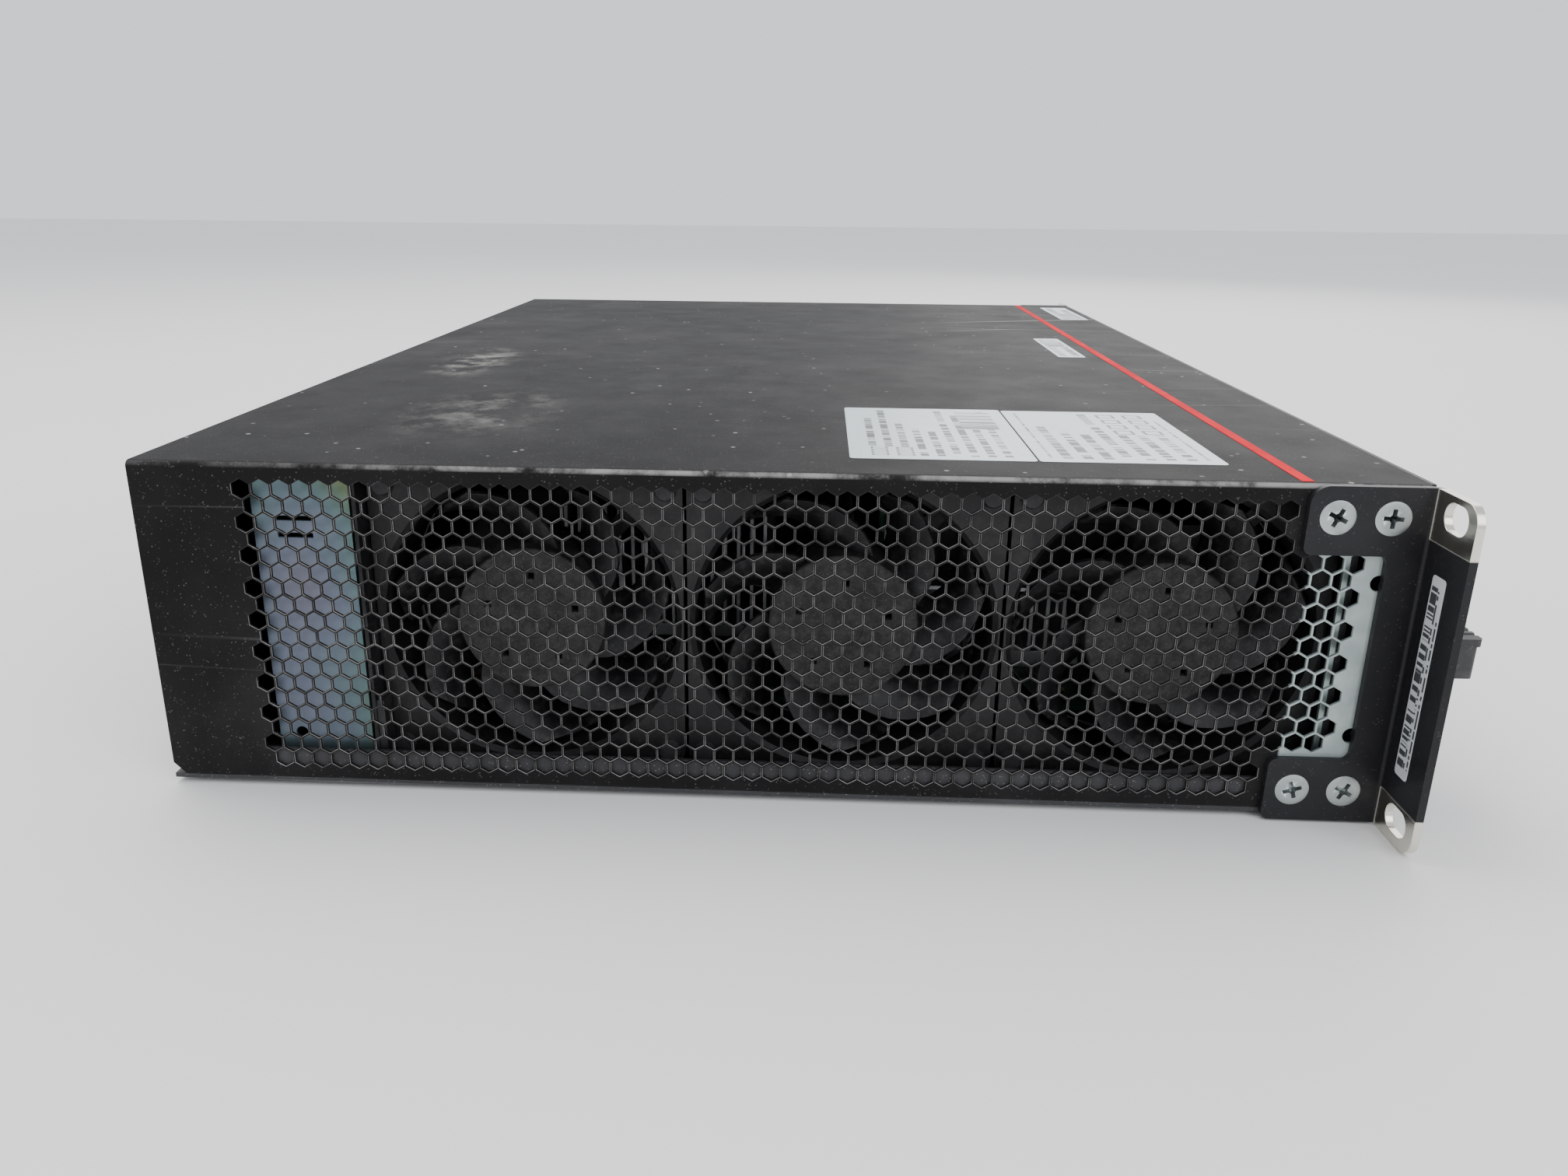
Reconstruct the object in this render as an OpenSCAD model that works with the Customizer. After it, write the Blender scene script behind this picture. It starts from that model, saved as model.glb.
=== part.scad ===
// Rack firewall appliance, two units high: a sheet-metal chassis with a slide-out
// fan tray, two power supplies, one expansion card and the boards they serve.
// X runs across the chassis, -Y is its front and Z is up. The origin is under the
// middle of the chassis, on the plane that the feet rest on.

/* [Chassis] */
// Width of the chassis without its rack ears
body_w = 442; // [430:1:540]
// Depth of the chassis, front edge to rear edge
body_d = 312; // [306:1:400]
// Height of the chassis, base pan to top cover
body_h = 86.1; // [84:0.1:110]
// Thickness of the cover sheet
cover_t = 1; // [0.8:0.1:1.4]
// Thickness of the base sheet
base_t = 1.2; // [1:0.1:1.6]
// Outer radius of the cover's long folds
fold_r = 1.6; // [1.5:0.1:3]
// Height of the base pan's upturned side flanges
flange_h = 9; // [6:0.5:12]
// Size of the cut corner at the cover's lower rear
chamfer = 3; // [1:0.5:6]
// Seam between two sheets that lie side by side
seam = 0.15; // [0.1:0.05:0.3]
// Height of the lip that the cover folds down over the rear panel
lip_h = 9; // [7:0.5:12]
// Diameter of a rubber foot
foot_dia = 12; // [8:1:20]
// Height of a rubber foot under the base
foot_h = 1.5; // [1:0.1:6]
// Distance of each foot from the chassis edges
foot_inset = 30; // [15:1:60]

/* [Side vents] */
// Distance between neighbouring vent holes
vent_pitch = 4.94; // [4.9:0.02:7]
// Width of a vent hole across its flats
vent_af = 4.4; // [3:0.1:4.7]
// Height of the top row of hole centres above the base
vent_top = 79.5; // [76:0.5:80]
// Height of the lowest hole centres above the base, at least
vent_low = 6.5; // [5:0.5:12]
// Rearmost hole centre of the left vent, from the middle
vent_rear = 128; // [100:1:135]
// Front end of both vents, ahead of the middle
vent_front = 143.5; // [120:0.5:144]
// Rearmost hole centre of the right vent, ahead of the middle
right_vent_rear = 44; // [40:1:90]

/* [Rack ears] */
// How far each ear reaches past the side of the chassis
flange_l = 20.3; // [20.3:0.1:26]
// Distance from an ear's outer edge to the middle of its rack slots
rack_hole_in = 8.75; // [8:0.05:9.5]
// Height between the two rack holes of one ear
rack_hole_h = 76.2; // [31.75:44.45:76.2]
// Length of a rack slot
rack_slot_l = 10.3; // [8:0.1:12]
// Width of a rack slot
rack_slot_w = 6.8; // [6:0.1:7.5]
// Thickness of the ear plate
ear_t = 2; // [1.5:0.1:3]
// Length of an ear's side plate, behind the chassis front
ear_l = 28.4; // [26:0.1:40]
// Length of the open window in an ear's side plate
ear_window_l = 19.8; // [12:0.1:24]
// Height of the upper tab of an ear
ear_upper_h = 16.8; // [14:0.1:20]
// Height of the lower tab of an ear, above the base
ear_lower_h = 16; // [14:0.1:20]
// How far an ear reaches below the base
ear_drop = 0.9; // [0:0.1:1.2]

/* [Fasteners] */
// Shank diameter of the ear screws
ear_screw_dia = 4; // [3:0.5:4]
// Head diameter of the ear screws
ear_head_dia = 8.7; // [7:0.1:9]
// Height of a countersunk head
ear_head_h = 1.7; // [1.2:0.1:1.9]
// Distance between the two screws of a tab
ear_screw_gap = 12.7; // [10:0.1:14]
// Distance of the rear screw of a tab from the chassis front
ear_screw_rear = 21.5; // [20:0.1:24]
// Height of the lower screw row above the base
ear_screw_low = 7.5; // [6:0.1:8]
// Height of the upper screw row above the base
ear_screw_high = 78.5; // [76:0.1:80]
// Shank diameter of the small screws
small_screw_dia = 3; // [2:0.5:3]
// Head diameter of the small screws
small_head_dia = 5.6; // [4:0.1:6]
// Height of a small screw's head
small_head_h = 1.8; // [1.2:0.1:2.4]
// Clearance around every screw shank
screw_gap = 0.15; // [0.1:0.05:0.2]

/* [Fan tray] */
// Width of the fan tray, across the chassis
tray_w = 32.5; // [32:0.5:40]
// Gap between the tray and the sheets around it
tray_gap = 0.5; // [0.4:0.1:1]
// Thickness of the tray sheet
tray_t = 1; // [0.8:0.1:1.2]
// Distance from the chassis front to the first fan
tray_front_gap = 14; // [10:0.5:20]
// How far the tray slides out
tray_travel = 270; // [100:5:270]
// Width of the faceplate's strip beside the tray, which the thumbscrews pass through
screw_strip_w = 15.5; // [14:0.5:18]
// Depth of the lip on the tray's front wall
tray_lip = 2; // [1:0.5:4]
// Length of the pull handle, outwards
handle_l = 18.5; // [10:0.5:30]
// Width of the pull handle
handle_w = 20; // [14:0.5:26]
// Thickness of the pull handle
handle_t = 10.5; // [8:0.5:14]
// Height of the handle's middle above the base
handle_z = 40.9; // [30:0.1:55]

/* [Fans] */
// Side of a fan frame
fan_size = 80; // [60:1:80.5]
// Depth of a fan frame
fan_depth = 25; // [20:1:25]
// Distance between fan centres
fan_pitch = 81; // [80.7:0.1:82]
// Bore of the fan duct
fan_bore = 76.4; // [56:0.1:77]
// Distance between a fan's mounting holes
fan_hole_gap = 71.5; // [50:0.1:72]
// Diameter of a fan's hub
hub_dia = 38.7; // [30:0.1:42]
// Number of fan blades
blades = 7; // [5:1:9]
// Lean of a blade from the hub's face
blade_lean = 42; // [35:1:55]
// Shaft diameter of a fan
shaft_dia = 4; // [3:0.5:5]
// Gap between the blade tips and the duct
tip_gap = 0.9; // [0.5:0.1:1.5]

/* [Front] */
// Thickness of the front and rear panels
panel_t = 1.2; // [1:0.1:2]
// Thickness of a removable faceplate
face_t = 1.5; // [1:0.1:2]
// Gap between a fixed panel and a removable faceplate
face_gap = 0.3; // [0.3:0.05:0.6]
// Height of the line between the two rows of the front
row_line = 45; // [43:0.5:47]
// Height of an expansion card slot opening
slot_h = 33; // [30:0.5:34]
// How far the expansion card slides out
card_travel = 118; // [60:1:118]
// Pitch of the ganged network jacks
jack_pitch = 14; // [13.9:0.1:15]
// Number of jacks in a gang
jack_count = 4; // [2:1:4]
// Height of a network jack
jack_h = 13.4; // [13:0.1:14]
// Depth of a network jack
jack_d = 21; // [18:0.5:25]
// Pitch of the optical module cages
cage_pitch = 15.2; // [14.5:0.1:16]
// Height of the optical module cages
cage_h = 11; // [10:0.1:12]
// Depth of the optical module cages
cage_d = 47; // [40:1:50]
// Diameter of the reset button
reset_dia = 3; // [2.5:0.1:4]
// Travel of the reset button
reset_travel = 1.5; // [1:0.1:2]
// Swing of the card ejector levers
lever_swing = 75; // [30:1:80]

/* [Power supplies] */
// Width of a power supply case
psu_w = 90; // [80:1:92]
// Depth of a power supply case
psu_d = 178; // [160:1:180]
// Gap around a power supply in its bay
psu_gap = 0.6; // [0.4:0.1:1]
// How far a power supply slides out
psu_travel = 180; // [100:5:190]
// Reach of the power supply's pull handle
psu_handle_l = 21; // [18:1:22]
// Squeeze of the power supply's latch
latch_swing = 12; // [6:1:15]

/* [Boards] */
// Thickness of a circuit board
board_t = 1.6; // [1.2:0.1:2]
// Height of the standoffs under the main board
standoff_h = 7; // [5:0.5:8]
// Number of fins on the processor heat sink
sink_fins = 16; // [8:1:20]
// Height of the processor heat sink
sink_h = 46; // [30:1:50]

/* [Hidden] */
$fn = 48;
eps = 0.01;
// The chassis' own planes.
x_side = body_w / 2;
x_in = x_side - cover_t;
y_front = -body_d / 2;
y_rear = body_d / 2;
z_base = foot_h;
z_floor = z_base + base_t;
z_top = z_base + body_h;
z_ceil = z_top - cover_t;
z_mid = z_base + body_h / 2;
cover_low = z_floor + seam;
x_flange = x_in - seam - base_t;
// Vent grid.
vent_row = vent_pitch * sin(60);
vent_rows = 1 + floor((vent_top - vent_low) / vent_row);
vent_margin = vent_af;
vent_hi = z_base + vent_top + vent_margin / 2 + 1;
vent_lo = z_base + vent_top - (vent_rows - 1) * vent_row - vent_margin / 2 - 1;
vent_clear = 0.5;
// Rack ears.
rack_w = body_w + 2 * flange_l;
rack_hole_w = rack_w - 2 * rack_hole_in;
ear_low = z_base - ear_drop;
ear_rear = y_front + ear_l;
ear_front = y_front - ear_t;
ear_tab_hi = z_top - ear_upper_h;
ear_tab_lo = z_base + ear_lower_h;
ear_corner = 4.5;
ear_round = 2;
flange_corner = 5;
ear_screw_ys = [y_front + ear_screw_rear - ear_screw_gap, y_front + ear_screw_rear];
ear_screw_zs = [z_base + ear_screw_low, z_base + ear_screw_high];
ear_thread = ear_screw_dia / 2 + screw_gap;
ear_grip = 0.7;
ear_screw_l = ear_t + cover_t + seam + base_t + ear_grip;
backing_h = 14;
// Front planes: the fixed panel, then the faceplates that lie on it.
panel_front = y_front - panel_t;
face_back = panel_front - face_gap;
face_front = face_back - face_t;
panel_low = z_floor + seam;
panel_high = z_ceil - seam;
z_row = z_base + row_line;
face_edge = 0.8;
face_low = z_base + 2.8;
face_high = z_top - 2.4;
// Fan tray: its outer and inner X, its lowest and highest Z, and its ends.
tray_out = -x_flange + ear_grip + tray_gap;
tray_in = tray_out + tray_w;
tray_low = z_floor + tray_gap;
tray_high = z_ceil - tray_gap;
tray_mid = (tray_low + tray_high) / 2;
fan_face = tray_in - tray_t - fan_depth;
fan_ys = [for (n = [0:2]) y_front + tray_front_gap + fan_pitch * (n + 0.5)];
tray_end = y_front + tray_front_gap + 3 * fan_pitch + tray_t;
tray_face_w = tray_w + screw_strip_w;
tray_face_out = -x_side + 0.7;
tray_face_in = tray_face_out + tray_face_w;
tray_wall_y = y_front + tray_front_gap - 0.3 - tray_t;
bay_out = tray_out - tray_gap;
bay_in = tray_in + tray_gap;
wall_x = bay_in + 1;
wall_t = 1;
fan_vent_r = fan_bore / 2;
fan_flange_t = 3.5;
fan_duct_wall = 1.6;
fan_screw_r = 1.9;
motor_t = 4;
hub_recess = 1.2;
hub_wall = 1.5;
hub_gap = 1;
hub_d = fan_depth - hub_recess - motor_t - hub_gap;
running_gap = 0.05;
boss_r = 6;
strut_w = 5;
blade_t = 1.8;
thumb_x = tray_face_in - 6;
thumb_dia = 8.6;
thumb_l = 9;
thumb_shank = 1.7;
thumb_zs = [z_base + 14, z_top - 14];
// The plug at the tray's rear and the socket it enters.
plug_w = 14;
plug_h = 10;
plug_l = 8;
plug_x = (tray_out + tray_in) / 2 + 1;
plug_z = z_floor + 16;
plug_gap = 0.4;
dock_y = tray_end + 1.2;
dock_l = 25;
dock_t = 1;
// Power supplies, from the right side inwards.
psu_right = x_flange - 4.6;
psu_left = psu_right - psu_w;
psu_front = y_rear - psu_d;
bay_h = (z_ceil - z_floor) / 2;
shelf_t = 1;
psu_low = [z_floor + psu_gap + 0.7, z_floor + bay_h + shelf_t / 2 + psu_gap];
psu_h = bay_h - shelf_t / 2 - 2 * psu_gap - 0.7;
psu_face_back = y_rear - 1 + face_gap;
psu_face_y = psu_face_back + face_t;
cage_x = psu_left - psu_gap - 1.2;
cage_t = 1;
rear_in = y_rear - 1 - panel_t;
psu_sheet = 1;
inlet_w = 28;
inlet_h = 24;
inlet_x = psu_left + 26;
inlet_d = 18;
handle_x = [psu_right - 46, psu_right - 10];
handle_post = 5;
latch_x = psu_left + 5;
latch_pin_r = 1.25;
latch_h = 12;
latch_l = 16;
latch_hub_r = 2.6;
latch_gap = 0.4;
latch_ear_t = 1.2;
latch_y = psu_face_y + latch_hub_r + latch_gap;
tongue_w = 50;
tongue_l = 6;
tongue_gap = 0.5;
// Midplane, main board and the two slots in front of the midplane.
midplane_y = psu_front - 10;
z_board = z_floor + standoff_h + board_t;
board_x = [wall_x + wall_t + 3, cage_x - 3];
board_y = [y_front + 1.5, y_rear - 60];
shelf_y = midplane_y - 4;
slot_z = z_row + 4;
slot_side = 7;
face_seam = 1;
slot_face_w = (x_side - tray_face_in - 3.5 * face_seam) / 2;
slot_w = slot_face_w - 2 * slot_side;
slot_xs = [for (n = [0, 1]) tray_face_in + face_seam + slot_side + n * (slot_face_w + face_seam)];
card_z = slot_z + 6;
card_edge = 3;
card_gap = 0.35;
rail_w = 6;
rail_x = card_edge + 1;
card_rear = midplane_y + 6.4;
lever_h = 8;
lever_r = 3;
lever_pin_r = 1.5;
lever_arm = 20;
lever_t = 2;
lever_z = z_row + slot_h / 2 + 4;
lever_y = face_front - lever_r - 0.4;
// Openings of the jacks, the cages and the service port.
jack_open_w = 11.8;
jack_open_h = 8.6;
jack_open_d = 13;
cage_open_w = 13.8;
cage_open_h = 9;
port_proud = 0.6;
usb_w = 14.5;
usb_h = 7.2;
usb_d = 14;
usb_open_w = 12.6;
usb_open_h = 5.2;
// Places along the front's lower row, left to right.
port_gap = 8;
gang_w = jack_pitch * jack_count;
reset_x = tray_face_in + 10;
reset_z = z_board + 12;
usb_x = reset_x + 11;
console_x = usb_x + usb_w + port_gap;
gang_xs = [for (n = [0, 1]) console_x + jack_pitch + port_gap + 2 + n * (gang_w + port_gap)];
cage_count = 4;
cage_x0 = gang_xs[1] + gang_w + port_gap + 2;
light_z = reset_z + 8;
light_r = 1;
front_slot_pitch = 11;
front_slot_x0 = cage_x0 + cage_count * cage_pitch + port_gap + 6;
front_slot_count = floor((x_side - 8 - front_slot_x0) / front_slot_pitch);

// A box between two corners, each axis given as [low, high].
module span(x, y, z) {
  translate([x[0], y[0], z[0]]) cube([x[1] - x[0], y[1] - y[0], z[1] - z[0]]);
}

// A cylinder along Y or X, from a start point.
module rod_y(p, l, r) { translate(p) rotate([-90, 0, 0]) cylinder(h = l, r = r); }
module rod_x(p, l, r) { translate(p) rotate([0, 90, 0]) cylinder(h = l, r = r); }

// A rectangle with round corners, from its lower left corner.
module round_rect(w, h, r) {
  translate([r, 0]) square([w - 2 * r, h]);
  translate([0, r]) square([w, h - 2 * r]);
  for (x = [r, w - r]) for (y = [r, h - r]) translate([x, y]) circle(r);
}

// Turns a flat drawing to stand in the YZ plane, or in the XZ plane, with its thickness.
module stand_yz(x, t) { translate([x, 0, 0]) rotate([90, 0, 90]) linear_extrude(t) children(); }
module stand_xz(y, t) { translate([0, y + t, 0]) rotate([90, 0, 0]) linear_extrude(t) children(); }

// Raises a flat drawing to a height, with its thickness.
module stand_z(z, t) { translate([0, 0, z]) linear_extrude(t) children(); }

// A slot along X in the XZ drawing plane, centred.
module slot_hole(l, w) {
  square([l - w, w], center = true);
  for (side = [-1, 1]) translate([side * (l - w) / 2, 0]) circle(w / 2);
}

// The corner that a radius takes off, with the corner at the origin.
module corner_cut(r) {
  difference() {
    translate([-1, -1]) square(r + 1);
    translate([r, r]) circle(r);
  }
}

// ---------- Chassis sheets ----------

// The floor reaches under the cover's sides; its flanges stand inside them.
module base_pan() {
  color("#3a3b3d") difference() {
    union() {
      span([-x_side + 0.1, x_side - 0.1], [y_front, y_rear], [z_base, z_floor]);
      for (side = [-1, 1]) {
        x = side > 0 ? [x_flange, x_flange + base_t] : [-x_flange - base_t, -x_flange];
        span(x, [y_front, y_rear - 4], [z_floor, z_base + flange_h]);
        span(x, [y_front, ear_rear - 1], [z_floor, ear_tab_lo - 0.5]);
      }
    }
    for (y = ear_screw_ys) rod_x([-x_side, y, ear_screw_zs[0]], body_w, ear_thread);
  }
}

// The cover's section in XZ: a sheet folded over both sides.
module cover_section(half, low, high, r) {
  translate([-half, low]) square([2 * half, high - r - low]);
  translate([r - half, low]) square([2 * (half - r), high - low]);
  for (side = [-1, 1]) translate([side * (half - r), high - r]) circle(r);
}

module top_cover() {
  color("#1b1c1e") difference() {
    union() {
      rotate([90, 0, 0]) linear_extrude(body_d, center = true) difference() {
        cover_section(x_side, cover_low, z_top, fold_r);
        cover_section(x_in, cover_low - 1, z_ceil, fold_r - cover_t);
      }
      span([-x_in, cage_x], [y_rear - 1, y_rear], [z_top - lip_h, z_ceil + eps]);
    }
    vent_window(-x_side - 1, vent_rear);
    vent_window(x_in - 1, -right_vent_rear);
    for (y = ear_screw_ys) for (z = ear_screw_zs) rod_x([-x_side - 1, y, z], body_w + 2, ear_thread);
    for (x = cover_screw_xs()) rod_y([x, y_rear - 2, z_top - lip_h / 2], 4,
      small_screw_dia / 2 + screw_gap);
    stand_yz(-x_side - 1, body_w + 2)
      polygon([[y_rear - chamfer, cover_low], [y_rear + 1, cover_low],
        [y_rear + 1, cover_low + chamfer + 1],
        [y_rear, cover_low + chamfer]]);
  }
}

module vent_window(x, rear) {
  span([x, x + cover_t + 2], [-vent_front - vent_clear, rear + vent_margin], [vent_lo, vent_hi]);
}

function cover_screw_xs() = [for (n = [0:3]) -x_in + 20 + n * (cage_x + x_in - 40) / 3];

// Hole centres of a vent: a close-packed grid, without those an ear's tab would cover.
function under_tab(y, z) = y - vent_af / 2 < ear_rear + 0.5
  && (z + vent_af * 0.58 > ear_tab_hi || z - vent_af * 0.58 < ear_tab_lo);
function vent_holes(rear) = [for (row = [0:vent_rows - 1])
  let (z = z_base + vent_top - row * vent_row, y0 = rear - (row % 2) * vent_pitch / 2)
  for (col = [0:floor((y0 + vent_front - vent_af / 2) / vent_pitch)])
  let (y = y0 - col * vent_pitch) if (!under_tab(y, z)) [y, z]];

module vent_field(x, rear) {
  stand_yz(x, cover_t) difference() {
    translate([-vent_front - vent_clear, vent_lo])
      square([rear + vent_margin + vent_front + vent_clear, vent_hi - vent_lo]);
    for (p = vent_holes(rear)) translate(p) rotate(30) circle(r = vent_af / 2 / cos(30), $fn = 6);
    for (y = ear_screw_ys) for (z = ear_screw_zs) translate([y, z]) circle(ear_thread);
  }
}

module left_vent_field() { color("#1b1c1e") vent_field(-x_side, vent_rear); }
module right_vent_field() { color("#1b1c1e") vent_field(x_in, -right_vent_rear); }

module feet() {
  color("#202020") for (x = [-1, 1]) for (y = [-1, 1])
    translate([x * (x_side - foot_inset), y * (body_d / 2 - foot_inset), 0]) {
      cylinder(h = foot_h - 0.4, r1 = foot_dia / 2 - 0.4, r2 = foot_dia / 2);
      translate([0, 0, foot_h - 0.4]) cylinder(h = 0.4, d = foot_dia);
    }
}

// ---------- Rack ears and their screws ----------

// The left ear: an L section, cut to a C on the side and rounded on the flange.
module ear() {
  out = -rack_w / 2;
  side = -x_side - ear_t;
  difference() {
    union() {
      span([side, -x_side], [ear_front, ear_rear], [ear_low, z_top]);
      span([out, side + eps], [ear_front, y_front], [ear_low, z_top]);
    }
    stand_yz(side - 1, ear_t + 2) {
      translate([y_front + ear_l - ear_window_l, ear_tab_lo])
        round_window(ear_window_l + 1, ear_tab_hi - ear_tab_lo);
      translate([ear_rear, z_top]) rotate(180) corner_cut(ear_corner);
      translate([ear_rear, ear_low]) rotate(90) corner_cut(ear_round);
      translate([ear_rear, ear_tab_lo]) rotate(180) corner_cut(ear_round);
      translate([ear_rear, ear_tab_hi]) rotate(90) corner_cut(ear_round);
    }
    stand_xz(ear_front - 1, ear_t + 2) {
      translate([out, z_top]) rotate(-90) corner_cut(flange_corner);
      translate([out, ear_low]) corner_cut(flange_corner);
      for (side = [-1, 1]) translate([-rack_hole_w / 2, z_mid + side * rack_hole_h / 2])
        slot_hole(rack_slot_l, rack_slot_w);
    }
    for (y = ear_screw_ys) for (z = ear_screw_zs) {
      rod_x([side - 1, y, z], ear_t + 2, ear_thread);
      translate([side, y, z]) rotate([0, 90, 0])
        cylinder(h = ear_head_h, r1 = ear_head_dia / 2 + screw_gap, r2 = ear_thread);
    }
  }
}

// A window open towards +X of the drawing, round at its closed end.
module round_window(w, h) {
  translate([ear_round, 0]) square([w - ear_round, h]);
  translate([0, ear_round]) square([w, h - 2 * ear_round]);
  for (y = [ear_round, h - ear_round]) translate([ear_round, y]) circle(ear_round);
}

module left_ear() { color("#232426") ear(); }
module right_ear() { color("#232426") mirror([1, 0, 0]) ear(); }

// One countersunk screw with a cross recess, pointing along +X.
module ear_screw() {
  rotate([0, 90, 0]) difference() {
    union() {
      cylinder(h = ear_head_h, d1 = ear_head_dia, d2 = ear_screw_dia);
      cylinder(h = ear_screw_l, d = ear_screw_dia);
    }
    for (turn = [20, 110]) rotate(turn) cube([4.6, 1, 2.2], center = true);
  }
}

module ear_screws() {
  color("#c9ccd0") for (turn = [0, 1]) mirror([turn, 0, 0])
    for (y = ear_screw_ys) for (z = ear_screw_zs) translate([-x_side - ear_t, y, z]) ear_screw();
}

// Tapped plates behind the cover that the upper ear screws bite into.
module ear_backing_plates() {
  color("#b9bcbf") difference() {
    for (side = [-1, 1]) {
      x = side > 0 ? [x_flange, x_flange + base_t] : [-x_flange - base_t, -x_flange];
      span(x, [y_front + 1, ear_rear - 2], [ear_screw_zs[1] - backing_h / 2, z_ceil - 0.6]);
    }
    for (y = ear_screw_ys) rod_x([-x_side, y, ear_screw_zs[1]], body_w, ear_thread);
  }
}

// ---------- Front and rear panels ----------

module jack_window(x, w, h) {
  span([x - card_gap, x + w + card_gap], [y_front - 9, y_front + 9],
    [z_board - card_gap, z_board + h + card_gap]);
}

module front_panel() {
  color("#2a2b2d") difference() {
    union() {
      span([-x_side + 0.1, x_side - 0.1], [panel_front, y_front], [z_base, z_top - fold_r]);
      span([-x_side + fold_r, x_side - fold_r], [panel_front, y_front], [z_base, z_top]);
      span([bay_in + 5, x_flange - 1], [y_front, y_front + 10], [z_ceil - 1.2, z_ceil]);
    }
    span([bay_out, bay_in], [y_front - 9, y_front + 9], [tray_low - tray_gap, tray_high + tray_gap]);
    for (x = slot_xs)
      span([x, x + slot_w], [y_front - 9, y_front + 9], [slot_z, slot_z + slot_h]);
    for (x = gang_xs) jack_window(x, jack_pitch * jack_count, jack_h);
    jack_window(cage_x0, cage_pitch * cage_count, cage_h);
    jack_window(console_x, jack_pitch, jack_h);
    jack_window(usb_x, usb_w, usb_h);
    for (z = thumb_zs) rod_y([thumb_x, y_front - 9, z], 18, thumb_shank + screw_gap);
    rod_y([reset_x, y_front - 9, reset_z], 18, reset_dia / 2 + running_gap);
    for (x = light_xs()) rod_y([x, y_front - 9, light_z], 18, light_r + screw_gap);
    for (n = [0:front_slot_count - 1]) translate([front_slot_x0 + n * front_slot_pitch, 0, z_base + 14])
      front_slot();
    for (x = blank_screw_xs()) for (z = blank_screw_zs())
      rod_y([x, y_front - 9, z], 18, small_screw_dia / 2 + screw_gap);
  }
}

// An upright cooling slot in the front panel.
module front_slot() {
  span([0, 4], [y_front - 9, y_front + 9], [2, 18]);
  for (z = [2, 18]) rod_y([2, y_front - 9, z], 18, 2);
}

function blank_screw_xs() = [slot_xs[1] - slot_side / 2, slot_xs[1] + slot_w + slot_side / 2];
function blank_screw_zs() = [slot_z + 3, slot_z + slot_h - 3];

module rear_panel() {
  color("#3a3b3d") difference() {
    union() {
      span([-x_flange + 1, x_flange - 1], [rear_in, y_rear - 1], [z_floor, z_ceil]);
      span([-x_flange + 5, cage_x - 1], [rear_in - 9, rear_in], [z_ceil - 1, z_ceil]);
      span([-x_flange + 5, cage_x - 1], [rear_in - 9, rear_in], [z_floor, z_floor + 1]);
    }
    for (z = psu_low) span([psu_left - psu_gap, psu_right + psu_gap], [rear_in - 1, y_rear],
      [z - psu_gap, z + psu_h + psu_gap]);
    for (row = [0:4]) for (n = [0:18]) translate([cage_x - 190 + n * 9 + (row % 2) * 4.5, 0,
      z_floor + 22 + row * 8])
      rotate([90, 0, 0]) cylinder(h = 3 * body_d, d = 6, $fn = 6, center = true);
    rod_y([ground_x(), rear_in - 1, ground_z()], 9, 2);
    for (x = cover_screw_xs()) rod_y([x, rear_in - 1, z_top - lip_h / 2], 9,
      small_screw_dia / 2 + screw_gap);
  }
}

function ground_x() = -x_flange + 26;
function ground_z() = z_floor + 22;

// An M6 earth stud with its nut and washer, standing out of the rear panel.
module ground_stud() {
  color("#c8b560") {
    rod_y([ground_x(), rear_in - 0.5, ground_z()], 0.5 + panel_t + 1, 1.8);
    rod_y([ground_x(), y_rear - 1, ground_z()], 14, 3);
    rod_y([ground_x(), y_rear - 1, ground_z()], 1.2, 6.2);
    translate([ground_x(), y_rear + 0.2, ground_z()]) rotate([-90, 0, 0]) cylinder(h = 4, r = 5.6, $fn = 6);
  }
}

// A pan-head screw with a cross recess: its head above the origin, its shank below.
module small_screw(grip) {
  difference() {
    union() {
      cylinder(h = small_head_h, d1 = small_head_dia, d2 = small_head_dia - 1.2);
      translate([0, 0, -grip - 1]) cylinder(h = grip + 1.5, d = small_screw_dia);
    }
    for (turn = [0, 90]) rotate(turn) translate([0, 0, small_head_h]) cube([3, 0.8, 1.6], center = true);
  }
}

// The cover's screws at the rear, and the slot blank's at the front.
module panel_screws() {
  color("#b9bcbf") {
    for (x = cover_screw_xs()) translate([x, y_rear, z_top - lip_h / 2]) rotate([-90, 0, 0])
      small_screw(1 + panel_t);
    for (x = blank_screw_xs()) for (z = blank_screw_zs())
      translate([x, face_front + face_gap, z]) rotate([90, 0, 0]) small_screw(face_t + panel_t);
  }
}

// ---------- Fan bay ----------

// A wall between the fan tray and the boards, open behind each fan.
module fan_bay_wall() {
  color("#a9adb0") difference() {
    union() {
      span([wall_x, wall_x + wall_t], [y_front, tray_end + 1], [z_floor, z_ceil - seam]);
      span([wall_x + wall_t, wall_x + wall_t + 2.5], [y_front, tray_end + 1], [z_floor, z_floor + 1]);
    }
    for (y = fan_ys) rod_x([wall_x - 9, y, tray_mid], 18, fan_vent_r);
  }
}

// A zinc-plated bracket behind the tray: a plate beside the vent and an end wall.
module dock_bracket() {
  x = -x_flange + 2.5;
  color("#b5b78c") difference() {
    union() {
      span([x, x + dock_t], [dock_y, dock_y + dock_l], [z_floor, z_ceil - seam]);
      span([x, wall_x - 1], [dock_y, dock_y + dock_t], [z_floor, z_ceil - seam]);
      span([x, wall_x - 1], [dock_y, dock_y + dock_l], [z_floor, z_floor + dock_t]);
    }
    span([plug_x - plug_w / 2 - plug_gap, plug_x + plug_w / 2 + plug_gap], [dock_y - 1, dock_y + 2],
      [plug_z - plug_h / 2 - plug_gap, plug_z + plug_h / 2 + plug_gap]);
    for (z = [66, 70.4]) span([x - 1, x + 2], [dock_y + 10, dock_y + 19], [z_base + z, z_base + z + 1.2]);
    rod_x([x - 1, dock_y + 19, z_base + 12], 3, 1.6);
  }
}

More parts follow.
